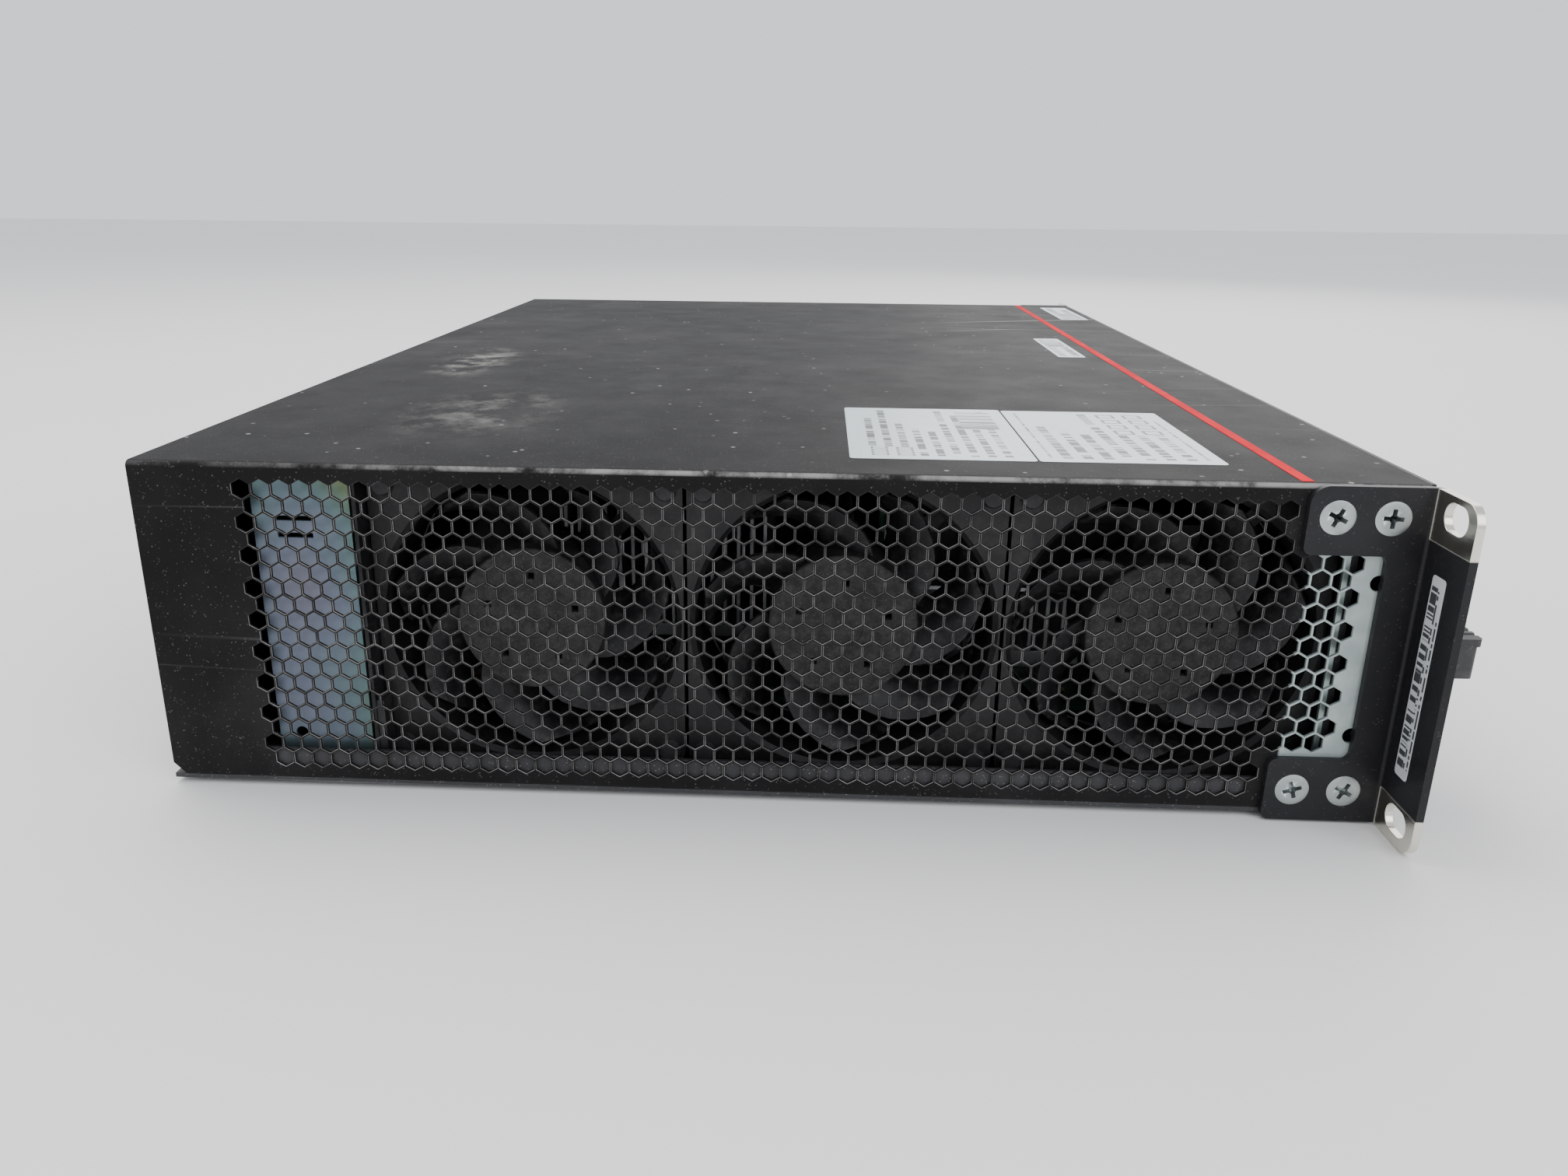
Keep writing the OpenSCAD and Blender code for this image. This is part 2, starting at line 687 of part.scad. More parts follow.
// The socket that the tray's plug enters.
module dock_socket() {
  w = plug_w / 2 + plug_gap;
  h = plug_h / 2 + plug_gap;
  color("#e8e4d8") difference() {
    span([plug_x - w - 2, plug_x + w + 2], [dock_y + dock_t, dock_y + dock_t + 12],
      [plug_z - h - 2, plug_z + h + 2]);
    span([plug_x - w, plug_x + w], [dock_y, dock_y + dock_t + 10], [plug_z - h, plug_z + h]);
  }
}

// ---------- Fan tray ----------

module tray_frame() {
  color("#4b4d50") difference() {
    union() {
      span([tray_in - tray_t, tray_in], [face_back, tray_end], [tray_low, tray_high]);
      for (z = [tray_low, tray_high - tray_t])
        span([tray_out, tray_in], [face_back, tray_end], [z, z + tray_t]);
      span([tray_out, tray_in], [tray_end - tray_t, tray_end], [tray_low, tray_high]);
      span([tray_out, tray_in], [tray_wall_y, tray_wall_y + tray_t], [tray_low, tray_high]);
      span([tray_out, tray_out + tray_t], [tray_wall_y, tray_wall_y + tray_t + tray_lip],
        [tray_low, tray_high]);
    }
    for (y = fan_ys) {
      rod_x([tray_in - 9, y, tray_mid], 18, fan_vent_r);
      for (dy = [-1, 1]) for (dz = [-1, 1])
        rod_x([tray_in - 9, y + dy * fan_hole_gap / 2, tray_mid + dz * fan_hole_gap / 2], 18,
          fan_screw_r + screw_gap);
    }
    span([plug_x - plug_w / 2, plug_x + plug_w / 2], [tray_end - 3, tray_end + 3],
      [plug_z - plug_h / 2, plug_z + plug_h / 2]);
  }
}

module tray_faceplate() {
  color("#232426") difference() {
    stand_xz(face_front, face_t) translate([tray_face_out, face_low])
      round_rect(tray_face_w, face_high - face_low, 1.5);
    for (z = thumb_zs) rod_y([thumb_x, face_front - 9, z], 18, thumb_shank + running_gap);
    for (n = [0:5]) for (side = [-1, 1])
      rod_y([(tray_out + tray_in) / 2, face_front - 9, z_base + handle_z + side * (14 + n * 4.5)], 18, 1.3);
  }
}

// A moulded pull: a neck, a wider grip and a finger groove on its underside.
module tray_handle() {
  x = tray_face_out + 5.4;
  z = z_base + handle_z;
  color("#1c1c1c") difference() {
    union() {
      span([x + 2, x + handle_w - 2], [face_front - handle_l + 5, face_front],
        [z - handle_t / 2 + 1.5, z + handle_t / 2 - 1.5]);
      stand_z(z - handle_t / 2, handle_t) translate([x, face_front - handle_l])
        round_rect(handle_w, 7, 1.4);
      stand_z(z + handle_t / 2 - 2, 2) translate([x, face_front - handle_l - 0.8])
        round_rect(handle_w, 3, 1.4);
      span([x - 1, x + handle_w + 1], [face_front - 1.2, face_front],
        [z - handle_t / 2 - 1.5, z + handle_t / 2 + 1.5]);
    }
    for (n = [-2:2]) rod_y([x + handle_w / 2 + n * 3, face_front - handle_l - 1, z + handle_t / 2 + 0.5],
      9, 1);
  }
}

module thumbscrew(z) {
  color("#c4c7ca") difference() {
    union() {
      rod_y([thumb_x, face_front - thumb_l, z], thumb_l - face_gap, thumb_dia / 2);
      rod_y([thumb_x, face_front - 1, z], 1 + face_t + face_gap + panel_t + 3, thumb_shank);
    }
    span([thumb_x - 9, thumb_x + 9], [face_front - thumb_l - 1, face_front - thumb_l + 1],
      [z - 0.6, z + 0.6]);
    span([thumb_x - 0.6, thumb_x + 0.6], [face_front - thumb_l - 1, face_front - thumb_l + 1],
      [z - 9, z + 9]);
    for (n = [0:15]) rotate_about_y([thumb_x, z], n * 22.5)
      rod_y([thumb_x + thumb_dia / 2 + 0.25, face_front - thumb_l - 1, z], thumb_l - 1, 0.6);
  }
}
module rotate_about_y(p, a) {
  translate([p[0], 0, p[1]]) rotate([0, a, 0]) translate([-p[0], 0, -p[1]]) children();
}
module upper_thumbscrew() { thumbscrew(thumb_zs[1]); }
module lower_thumbscrew() { thumbscrew(thumb_zs[0]); }

module tray_plug() {
  color("#e8e4d8") difference() {
    span([plug_x - plug_w / 2, plug_x + plug_w / 2], [tray_end - tray_t, tray_end + plug_l],
      [plug_z - plug_h / 2, plug_z + plug_h / 2]);
    for (n = [-2:2]) for (row = [-1, 1])
      rod_y([plug_x + n * 2.5, tray_end + plug_l - 4, plug_z + row * 2], 5, 0.6);
  }
}

// Three fan frames: two square flanges joined by a round duct, with a motor base
// on four struts at the inner end.
module fan_frame() {
  half = fan_size / 2;
  difference() {
    union() {
      for (z = [0, fan_depth - fan_flange_t]) translate([0, 0, z]) linear_extrude(fan_flange_t)
        translate([-half, -half]) round_rect(fan_size, fan_size, 3);
      cylinder(h = fan_depth, r = min(fan_bore / 2 + fan_duct_wall, half));
    }
    translate([0, 0, -1]) cylinder(h = fan_depth + 2, d = fan_bore);
    for (x = [-1, 1]) for (y = [-1, 1]) translate([x * fan_hole_gap / 2, y * fan_hole_gap / 2, -1])
      cylinder(h = fan_depth + 2, r = fan_screw_r + screw_gap);
  }
  translate([0, 0, fan_depth - motor_t]) difference() {
    union() {
      cylinder(h = motor_t, d = hub_dia - 2);
      translate([0, 0, -9]) cylinder(h = 10, r = boss_r);
      for (turn = [45:90:315]) rotate(turn) translate([hub_dia / 2 - 3, -strut_w / 2, 0.5])
        cube([(fan_bore - hub_dia) / 2 + 3.4, strut_w, motor_t - 0.5]);
    }
    translate([0, 0, -10]) cylinder(h = 13, d = shaft_dia + 2 * running_gap);
  }
}

module at_fan(y) { translate([fan_face, y, tray_mid]) rotate([0, 90, 0]) children(); }

module fan_frames() {
  color("#151515") for (y = fan_ys) at_fan(y) fan_frame();
}

// A hub cup with its shaft, and blades that lean across the duct.
module fan_rotor() {
  tip_r = fan_bore / 2 - tip_gap;
  difference() {
    union() {
      translate([0, 0, hub_recess]) cylinder(h = hub_d, d = hub_dia);
      intersection() {
        for (n = [0:blades - 1]) rotate(n * 360 / blades)
          translate([hub_dia / 2 - 1.5, 0, hub_recess + hub_d / 2]) rotate([blade_lean, 0, 0])
            translate([0, -hub_d * 0.64, -blade_t / 2]) cube([tip_r, hub_d * 1.28, blade_t]);
        translate([0, 0, hub_recess]) cylinder(h = hub_d, r = tip_r);
      }
    }
    translate([0, 0, hub_recess + hub_wall]) cylinder(h = hub_d, d = hub_dia - 2 * hub_wall);
    for (n = [0:4]) rotate(n * 72) translate([12, 0, 0]) cylinder(h = hub_recess + hub_wall + 1, d = 1.8);
  }
  translate([0, 0, hub_recess + hub_wall - eps])
    cylinder(h = fan_depth - hub_recess - hub_wall - 1.5, d = shaft_dia);
}

module rear_fan_rotor() { color("#101010") at_fan(fan_ys[2]) fan_rotor(); }
module middle_fan_rotor() { color("#101010") at_fan(fan_ys[1]) fan_rotor(); }
module front_fan_rotor() { color("#101010") at_fan(fan_ys[0]) fan_rotor(); }

module fan_rivets() {
  color("#26272a") for (y = fan_ys) for (dy = [-1, 1]) for (dz = [-1, 1])
    translate([fan_face, y + dy * fan_hole_gap / 2, tray_mid + dz * fan_hole_gap / 2]) rotate([0, 90, 0]) {
      translate([0, 0, -1.6]) cylinder(h = 1.6, d1 = 4.6, d2 = 6);
      translate([0, 0, -eps]) cylinder(h = fan_depth + tray_t, r = fan_screw_r);
    }
}

// One wire bundle from each fan to the plug, along the tray's lower outer edge.
module fan_harness() {
  r = 0.75;
  clip = [tray_out + 0.5, fan_face - 0.3];
  end = tray_end - tray_t;
  color("#8c2a2a") for (n = [0:2]) {
    start = fan_ys[2 - n] + fan_size / 4;
    rod_y([tray_out + 1.4 + n * 1.6, start, tray_low + tray_t + r], end - 2 - start + eps, r);
  }
  color("#303030") {
    span(clip, [end - 2, end], [tray_low + tray_t, plug_z + plug_h / 2]);
    span([clip[0], plug_x], [end - 0.4, end], [plug_z - plug_h / 2, plug_z + plug_h / 2]);
  }
}

// ---------- Power supplies ----------

module psu_cage() {
  color("#a9adb0") difference() {
    union() {
      span([cage_x, cage_x + cage_t], [midplane_y + 4, rear_in], [z_floor, z_ceil - seam]);
      span([cage_x + cage_t, x_flange - 0.2], [midplane_y + 4, rear_in],
        [z_floor + bay_h - shelf_t / 2, z_floor + bay_h + shelf_t / 2]);
    }
    for (n = [0:5]) for (z = psu_low) stand_yz(cage_x - 1, 3)
      translate([midplane_y + 22 + n * 26, z + 9]) round_rect(18, psu_h - 18, 3);
  }
}

// A power supply: a sheet case with a faceplate, and its board inside.
module psu_case(low) {
  z = [low, low + psu_h];
  color("#8f9396") difference() {
    union() {
      span([psu_left, psu_right], [psu_front, psu_face_back + eps], z);
      span([psu_left - 1.4, psu_right + 1.4], [psu_face_back, psu_face_y], [z[0] - 0.5, z[1] + 0.5]);
    }
    span([psu_left + psu_sheet, psu_right - psu_sheet], [psu_front + psu_sheet, psu_face_back - 0.5],
      [z[0] + psu_sheet, z[1] - psu_sheet]);
    span([inlet_x - inlet_w / 2, inlet_x + inlet_w / 2], [psu_face_back - 9, psu_face_y + 9],
      [low + psu_h / 2 - inlet_h / 2, low + psu_h / 2 + inlet_h / 2]);
    for (n = [0:5]) for (m = [0:4]) rod_y([handle_x[0] + 4 + n * 5.4, psu_face_back - 9,
      low + psu_h / 2 + (m - 2) * 5.4],
      18, 1.9);
    rod_y([latch_x + 5.5, psu_face_back - 9, low + 6], 18, 1.2);
  }
  color("#8f9396") latch_clevis(low + psu_h / 2);
  color("#2f6b3f") {
    span([psu_left + psu_sheet, psu_right - psu_sheet], [psu_front + 1, psu_face_back - 22],
      [low + 4, low + 4 + board_t]);
    span([(psu_left + psu_right - tongue_w) / 2, (psu_left + psu_right + tongue_w) / 2],
      [psu_front - tongue_l, psu_front + 2], [low + 4, low + 4 + board_t]);
    span([psu_left + 30, psu_left + 62], [psu_front + 60, psu_front + 92], [low + 4, low + 30]);
    for (n = [0:2]) translate([psu_left + 20 + n * 22, psu_front + 120, low + 5]) cylinder(h = 24, r = 8);
  }
}
module lower_psu_case() { psu_case(psu_low[0]); }
module upper_psu_case() { psu_case(psu_low[1]); }

// The mains inlet: a recessed cup with three blades.
module psu_inlet(low) {
  z = low + psu_h / 2;
  g = card_gap / 2;
  back = psu_face_y - inlet_d;
  color("#141414") {
    difference() {
      span([inlet_x - inlet_w / 2 + g, inlet_x + inlet_w / 2 - g], [back, psu_face_y],
        [z - inlet_h / 2 + g, z + inlet_h / 2 - g]);
      span([inlet_x - 12, inlet_x + 12], [back + 3, psu_face_y + 1], [z - 8.2, z + 8.2]);
    }
    for (side = [-1, 1]) span([inlet_x + side * 7 - 1, inlet_x + side * 7 + 1],
      [back + 2, psu_face_y - 6], [z - 4.5, z - 0.5]);
    span([inlet_x - 1, inlet_x + 1], [back + 2, psu_face_y - 6], [z + 2.5, z + 6.5]);
  }
}
module lower_psu_inlet() { psu_inlet(psu_low[0]); }
module upper_psu_inlet() { psu_inlet(psu_low[1]); }

// A bow handle over the supply's exhaust.
module psu_handle(low) {
  z = low + psu_h / 2;
  color("#1c1c1c") difference() {
    stand_z(z - 5, 10) translate([handle_x[0], psu_face_y])
      round_rect(handle_x[1] - handle_x[0], psu_handle_l, 4);
    span([handle_x[0] + handle_post, handle_x[1] - handle_post],
      [psu_face_y - 5, psu_face_y + psu_handle_l - handle_post],
      [z - 9, z + 9]);
    span([handle_x[0] - 1, handle_x[1] + 1], [psu_face_y - 9, psu_face_y], [z - 9, z + 9]);
  }
}
module lower_psu_handle() { psu_handle(psu_low[0]); }
module upper_psu_handle() { psu_handle(psu_low[1]); }

// The two ears and the upright pin that hold a latch.
module latch_clevis(z) {
  reach = latch_h / 2 + latch_gap;
  for (ear = [-reach - latch_ear_t, reach])
    span([latch_x - latch_hub_r, latch_x + latch_hub_r], [psu_face_y - eps, latch_y + latch_hub_r],
      [z + ear, z + ear + latch_ear_t]);
  translate([latch_x, latch_y, z - reach - eps]) cylinder(h = 2 * (reach + eps), r = latch_pin_r);
}

// A squeeze latch that turns about its pin.
module psu_latch(low) {
  z = low + psu_h / 2;
  y = latch_y;
  color("#b02a22") difference() {
    union() {
      translate([latch_x, y, z - latch_h / 2]) cylinder(h = latch_h, r = latch_hub_r);
      span([latch_x - 0.9, latch_x + 0.9], [y, y + latch_l], [z - latch_h / 2, z + latch_h / 2]);
      span([latch_x - 0.9, latch_x + 3], [y + latch_l - 1.6, y + latch_l],
        [z - latch_h / 2, z + latch_h / 2]);
    }
    translate([latch_x, y, z - latch_h]) cylinder(h = 2 * latch_h, r = latch_pin_r + running_gap);
  }
}
module lower_psu_latch() { psu_latch(psu_low[0]); }
module upper_psu_latch() { psu_latch(psu_low[1]); }

// ---------- Boards and what stands on them ----------

module main_board() {
  color("#1f5a35") difference() {
    span(board_x, board_y, [z_board - board_t, z_board]);
    for (p = standoff_points()) translate([p[0], p[1], z_floor]) cylinder(h = 20, r = 1.6);
  }
}

function standoff_points() = [for (x = [board_x[0] + 8, (board_x[0] + board_x[1]) / 2, board_x[1] - 8])
  for (y = [board_y[0] + 70, board_y[1] - 10]) [x, y]];

module board_standoffs() {
  color("#c9a94f") for (p = standoff_points()) translate([p[0], p[1], z_floor]) {
    cylinder(h = standoff_h, r = 3.2, $fn = 6);
    cylinder(h = standoff_h + board_t + 1, r = 1.4);
    translate([0, 0, standoff_h + board_t]) cylinder(h = 1.8, r = 2.6);
  }
}

// Capacitors, coils and memory chips, in rows.
module board_parts() {
  z = z_board;
  color("#3b3d42") {
    for (n = [0:6]) translate([board_x[0] + 20 + n * 13, midplane_y + 14, z]) cylinder(h = 11, r = 4);
    for (n = [0:3]) span([20 + n * 20, 32 + n * 20], [board_y[1] - 40, board_y[1] - 28], [z, z + 7]);
    for (n = [0:4]) span([-60 + n * 26, -44 + n * 26], [midplane_y - 30, midplane_y - 18], [z, z + 1.6]);
    span([board_x[1] - 40, board_x[1] - 20], [midplane_y + 20, midplane_y + 34], [z, z + 8]);
  }
}

// A finned heat sink on a chip: fins run across the chassis, with the air.
module heat_sink(x, y, w, d, h, fins) {
  pitch = (d - 1.2) / (fins - 1);
  span([x, x + w], [y, y + d], [z_board + 3, z_board + 7]);
  for (n = [0:fins - 1]) span([x, x + w], [y + n * pitch, y + n * pitch + 1.2],
    [z_board + 7 - eps, z_board + h]);
  span([x + w / 2 - 16, x + w / 2 + 16], [y + d / 2 - 16, y + d / 2 + 16], [z_board, z_board + 3 + eps]);
}
module processor_heat_sink() {
  color("#b4b8bb") heat_sink(board_x[0] + 40, midplane_y + 34, 76, 64, sink_h, sink_fins);
}
module switch_heat_sink() {
  color("#8d9195") heat_sink(board_x[0] + 24, midplane_y - 62, 40, 40, 24, 9);
}

module memory_modules() {
  for (n = [0:1]) {
    y = midplane_y + 44 + n * 14;
    x = [board_x[1] - 136, board_x[1] - 2];
    color("#1a1a1a") span(x, [y, y + 6], [z_board, z_board + 5]);
    color("#24613b") span([x[0] + 3, x[1] - 3], [y + 2.4, y + 3.8], [z_board + 5 - eps, z_board + 31]);
    color("#16181a") for (c = [0:7]) span([x[0] + 8 + c * 15, x[0] + 19 + c * 15], [y + 1.4, y + 2.4 + eps],
      [z_board + 12, z_board + 24]);
  }
}

// The board that joins the card slots in front of it to the supplies behind it.
module midplane() {
  color("#1f5a35") difference() {
    span([board_x[0], x_flange - 4], [midplane_y, midplane_y + board_t], [z_board + 2, z_ceil - 3]);
    for (n = [0:7]) span([board_x[0] + 16 + n * 42, board_x[0] + 46 + n * 42],
      [midplane_y - 9, midplane_y + 9],
      [z_ceil - 21, z_ceil - 8]);
  }
}

// Sockets for the two supplies' tongues, a link to the main board, and the cards' sockets.
module midplane_sockets() {
  x = (psu_left + psu_right) / 2;
  w = tongue_w / 2;
  rear = midplane_y + board_t;
  color("#e8e4d8") {
    for (low = psu_low) difference() {
      span([x - w - 4, x + w + 4], [rear, psu_front - 1],
        [low + max(0, 2 - psu_gap), low + 4 + board_t + 3]);
      span([x - w - tongue_gap, x + w + tongue_gap], [psu_front - tongue_l - 0.6, psu_front],
        [low + 4 - tongue_gap, low + 4 + board_t + tongue_gap]);
    }
    span([board_x[0] + 30, board_x[0] + 150], [rear, rear + 6], [z_board, z_board + 12]);
    for (sx = slot_xs) difference() {
      span([sx + 50, sx + 130], [midplane_y - 8, midplane_y], [card_z - 3, card_z + board_t + 3]);
      span([sx + 54, sx + 126], [midplane_y - 9, midplane_y - 2],
        [card_z - tongue_gap, card_z + board_t + tongue_gap]);
    }
  }
}

// ---------- Ports of the front row ----------

module socket_gang(x, z, count, pitch, h, d, open_w, open_h, open_d) {
  front = panel_front - port_proud;
  difference() {
    span([x, x + pitch * count], [front, front + d], [z, z + h]);
    for (n = [0:count - 1]) span([x + pitch * (n + 0.5) - open_w / 2, x + pitch * (n + 0.5) + open_w / 2],
      [front - 1, front + open_d], [z + (h - open_h) / 2, z + (h + open_h) / 2]);
  }
}
module jack_gang(x, z, count) {
  color("#b7babd") socket_gang(x, z, count, jack_pitch, jack_h, jack_d, jack_open_w, jack_open_h,
    jack_open_d);
}
module port_gang_left() { jack_gang(gang_xs[0], z_board, jack_count); }
module port_gang_right() { jack_gang(gang_xs[1], z_board, jack_count); }
module console_port() { jack_gang(console_x, z_board, 1); }
module module_cages() {
  color("#c3c6c9") socket_gang(cage_x0, z_board, cage_count, cage_pitch, cage_h, cage_d, cage_open_w,
    cage_open_h, cage_d - 3);
}
module usb_port() {
  color("#c3c6c9") socket_gang(usb_x, z_board, 1, usb_w, usb_h, usb_d, usb_open_w, usb_open_h, usb_d - 3);
}

// Four light pipes that bring the board's lamps to the front.
function light_xs() = [for (n = [0:3]) reset_x - 4 + 4 * n];
module status_lights() {
  color("#cfe8c8") for (x = light_xs()) rod_y([x, panel_front - 0.4, light_z], 12, light_r);
}

module reset_switch() {
  color("#2a2a2a") span([reset_x - 3.5, reset_x + 3.5], [y_front + 9, y_front + 16],
    [z_board, reset_z + 3.5]);
}

// The plunger: a pin through the panel and a flange that keeps it in.
module reset_button() {
  color("#d8d8d8") {
    rod_y([reset_x, panel_front + 0.3, reset_z], panel_t + 8 - reset_travel, reset_dia / 2);
    rod_y([reset_x, y_front + 0.4, reset_z], 1.2, reset_dia / 2 + 1);
  }
}

// ---------- Expansion slots ----------

module slot_shelf() {
  color("#a9adb0") span([board_x[0] - 3, x_flange - 0.5], [y_front + 0.5, shelf_y], [z_row, z_row + 1]);
}

// Grooved rails, two in each slot, on the shelf.
module card_rails() {
  color("#2c2c2c") for (x = slot_xs) for (side = [0, 1])
    translate([x + side * slot_w, 0, 0]) mirror([side, 0, 0]) difference() {
      span([rail_x - rail_w, rail_x], [y_front + 6, shelf_y - 2], [z_row + 1, card_z + board_t + 4]);
      span([rail_x - card_edge, rail_x + 1], [y_front + 5, shelf_y],
        [card_z - card_gap, card_z + board_t + card_gap]);
    }
}

module faceplate(x) {
  stand_xz(face_front, face_t) translate([x - slot_side, z_row + 0.6])
    round_rect(slot_face_w, face_high - z_row - 0.6, 1);
}

// The removable card: its faceplate, its board with an edge tongue, and its chips.
module card_body() {
  x = slot_xs[0];
  color("#2a2b2d") difference() {
    union() {
      faceplate(x);
      span([x + 6, x + slot_w - 6], [face_back - eps, y_front + 4], [card_z - 2.4, card_z]);
      for (side = [0, 1]) lever_clevis(side);
    }
    for (n = [0:1]) jack_opening(x + 34 + n * 62);
    rod_y([x + 160, face_front - 9, card_z + 16], 18, 1.2);
  }
  color("#1f5a35") {
    span([x + rail_x - card_edge + card_gap, x + slot_w - rail_x + card_edge - card_gap],
      [y_front + 2, shelf_y - 6],
      [card_z, card_z + board_t]);
    span([x + 55, x + 125], [shelf_y - 8, midplane_y - 3], [card_z, card_z + board_t]);
    span([x + 60, x + 92], [y_front + 50, y_front + 82], [card_z + board_t - eps, card_z + board_t + 4]);
  }
}

module jack_opening(x) {
  span([x - card_gap, x + jack_pitch * 2 + card_gap], [face_front - 9, y_front + 2],
    [card_z + board_t, card_z + board_t + jack_h + card_gap]);
}

module card_ports() {
  for (n = [0:1]) translate([0, face_front - port_proud - (panel_front - port_proud), 0])
    jack_gang(slot_xs[0] + 34 + n * 62, card_z + board_t, 2);
}

// Pivot places of the levers, and the ears and pin that hold each.
function lever_x(side) = slot_xs[0] + (side == 0 ? 4 : slot_w - 4);
module lever_clevis(side) {
  x = lever_x(side);
  for (z = [-lever_h / 2 - 2, lever_h / 2 + 0.4])
    span([x - lever_r, x + lever_r], [lever_y - lever_r, face_front + eps],
    [lever_z + z, lever_z + z + 1.6]);
  translate([x, lever_y, lever_z - lever_h / 2 - 1]) cylinder(h = lever_h + 2, r = lever_pin_r);
}

module card_lever(side) {
  x = lever_x(side);
  way = side == 0 ? 1 : -1;
  arm = way > 0 ? [x, x + lever_arm] : [x - lever_arm, x];
  color("#b9bcbf") difference() {
    union() {
      translate([x, lever_y, lever_z - lever_h / 2]) cylinder(h = lever_h, r = lever_r);
      span(arm, [lever_y - lever_r, lever_y - lever_r + lever_t],
        [lever_z - lever_h / 2, lever_z + lever_h / 2]);
      translate([x + way * lever_arm, lever_y - lever_r + 0.9, lever_z - lever_h / 2])
        cylinder(h = lever_h, r = 1.6);
    }
    translate([x, lever_y, lever_z - lever_h]) cylinder(h = 2 * lever_h, r = lever_pin_r + running_gap);
  }
}
module card_lever_left() { card_lever(0); }
module card_lever_right() { card_lever(1); }

// A plain cover for the empty slot, with a screw at each corner.
module slot_blank() {
  x = slot_xs[1];
  color("#2a2b2d") difference() {
    translate([0, face_gap, 0]) faceplate(x);
    for (screw_x = blank_screw_xs()) for (z = blank_screw_zs())
      rod_y([screw_x, face_front - 9, z], 18, small_screw_dia / 2 + screw_gap);
  }
}

base_pan();
top_cover();
left_vent_field();
right_vent_field();
front_panel();
rear_panel();
left_ear();
right_ear();
ear_screws();
ear_backing_plates();
panel_screws();
feet();
ground_stud();
fan_bay_wall();
dock_bracket();
dock_socket();
psu_cage();
slot_shelf();
card_rails();
main_board();
board_standoffs();
board_parts();
processor_heat_sink();
switch_heat_sink();
memory_modules();
midplane();
midplane_sockets();
port_gang_left();
port_gang_right();
module_cages();
console_port();
usb_port();
status_lights();
reset_switch();
slot_blank();
tray_frame();
tray_faceplate();
tray_handle();
tray_plug();
fan_frames();
fan_rivets();
fan_harness();
rear_fan_rotor();
middle_fan_rotor();
front_fan_rotor();
upper_thumbscrew();
lower_thumbscrew();
lower_psu_case();
upper_psu_case();
lower_psu_inlet();
upper_psu_inlet();
lower_psu_handle();
upper_psu_handle();
lower_psu_latch();
upper_psu_latch();
card_body();
card_ports();
card_lever_left();
card_lever_right();
reset_button();
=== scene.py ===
"""Rack firewall appliance: the looks of every piece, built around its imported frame.

All lengths are in metres, in the frame's own axes: +X runs across the chassis towards
the power supplies, -Y towards the front panel and +Z up.
"""

import logging
import math
from collections.abc import Callable, Iterable, Sequence
from dataclasses import dataclass, field
from enum import Enum

import bpy
from mathutils import Matrix, Vector


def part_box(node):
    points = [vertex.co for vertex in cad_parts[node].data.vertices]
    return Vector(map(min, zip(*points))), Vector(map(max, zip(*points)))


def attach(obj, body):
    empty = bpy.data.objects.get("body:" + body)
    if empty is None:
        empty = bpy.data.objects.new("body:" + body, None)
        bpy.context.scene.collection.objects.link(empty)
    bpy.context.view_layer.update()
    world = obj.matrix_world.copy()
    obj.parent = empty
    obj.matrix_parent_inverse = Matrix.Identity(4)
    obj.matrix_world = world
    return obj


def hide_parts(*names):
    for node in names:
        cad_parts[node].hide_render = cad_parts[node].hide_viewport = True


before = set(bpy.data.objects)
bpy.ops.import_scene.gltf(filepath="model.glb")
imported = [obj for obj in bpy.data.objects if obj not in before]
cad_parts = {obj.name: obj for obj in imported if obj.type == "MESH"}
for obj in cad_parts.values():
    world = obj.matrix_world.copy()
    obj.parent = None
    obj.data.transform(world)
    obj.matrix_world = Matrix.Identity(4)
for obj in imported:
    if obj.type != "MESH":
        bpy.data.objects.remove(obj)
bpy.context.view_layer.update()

MM = 0.001
Colour = tuple[float, float, float]
Point = tuple[float, float, float]
log = logging.getLogger("appliance")


class Body(Enum):
    """The rigid bodies that pieces ride on."""

    CHASSIS = "chassis"
    TRAY = "fan_tray"
    REAR_FAN = "rear_fan"
    MIDDLE_FAN = "middle_fan"
    FRONT_FAN = "front_fan"
    UPPER_THUMB = "upper_thumb"
    LOWER_THUMB = "lower_thumb"
    LOWER_PSU = "lower_psu"
    UPPER_PSU = "upper_psu"
    LOWER_LATCH = "lower_latch"
    UPPER_LATCH = "upper_latch"
    CARD = "card"
    LEFT_LEVER = "left_lever"
    RIGHT_LEVER = "right_lever"
    RESET = "reset"


class Element(Enum):
    """What an edit-mode selection is made of."""

    VERTEX = "VERT"
    EDGE = "EDGE"
    FACE = "FACE"


class Side(Enum):
    """The left and right sides of the chassis, as the sign of their X."""

    LEFT = -1
    RIGHT = 1


# ---------------------------------------------------------------- shader maths


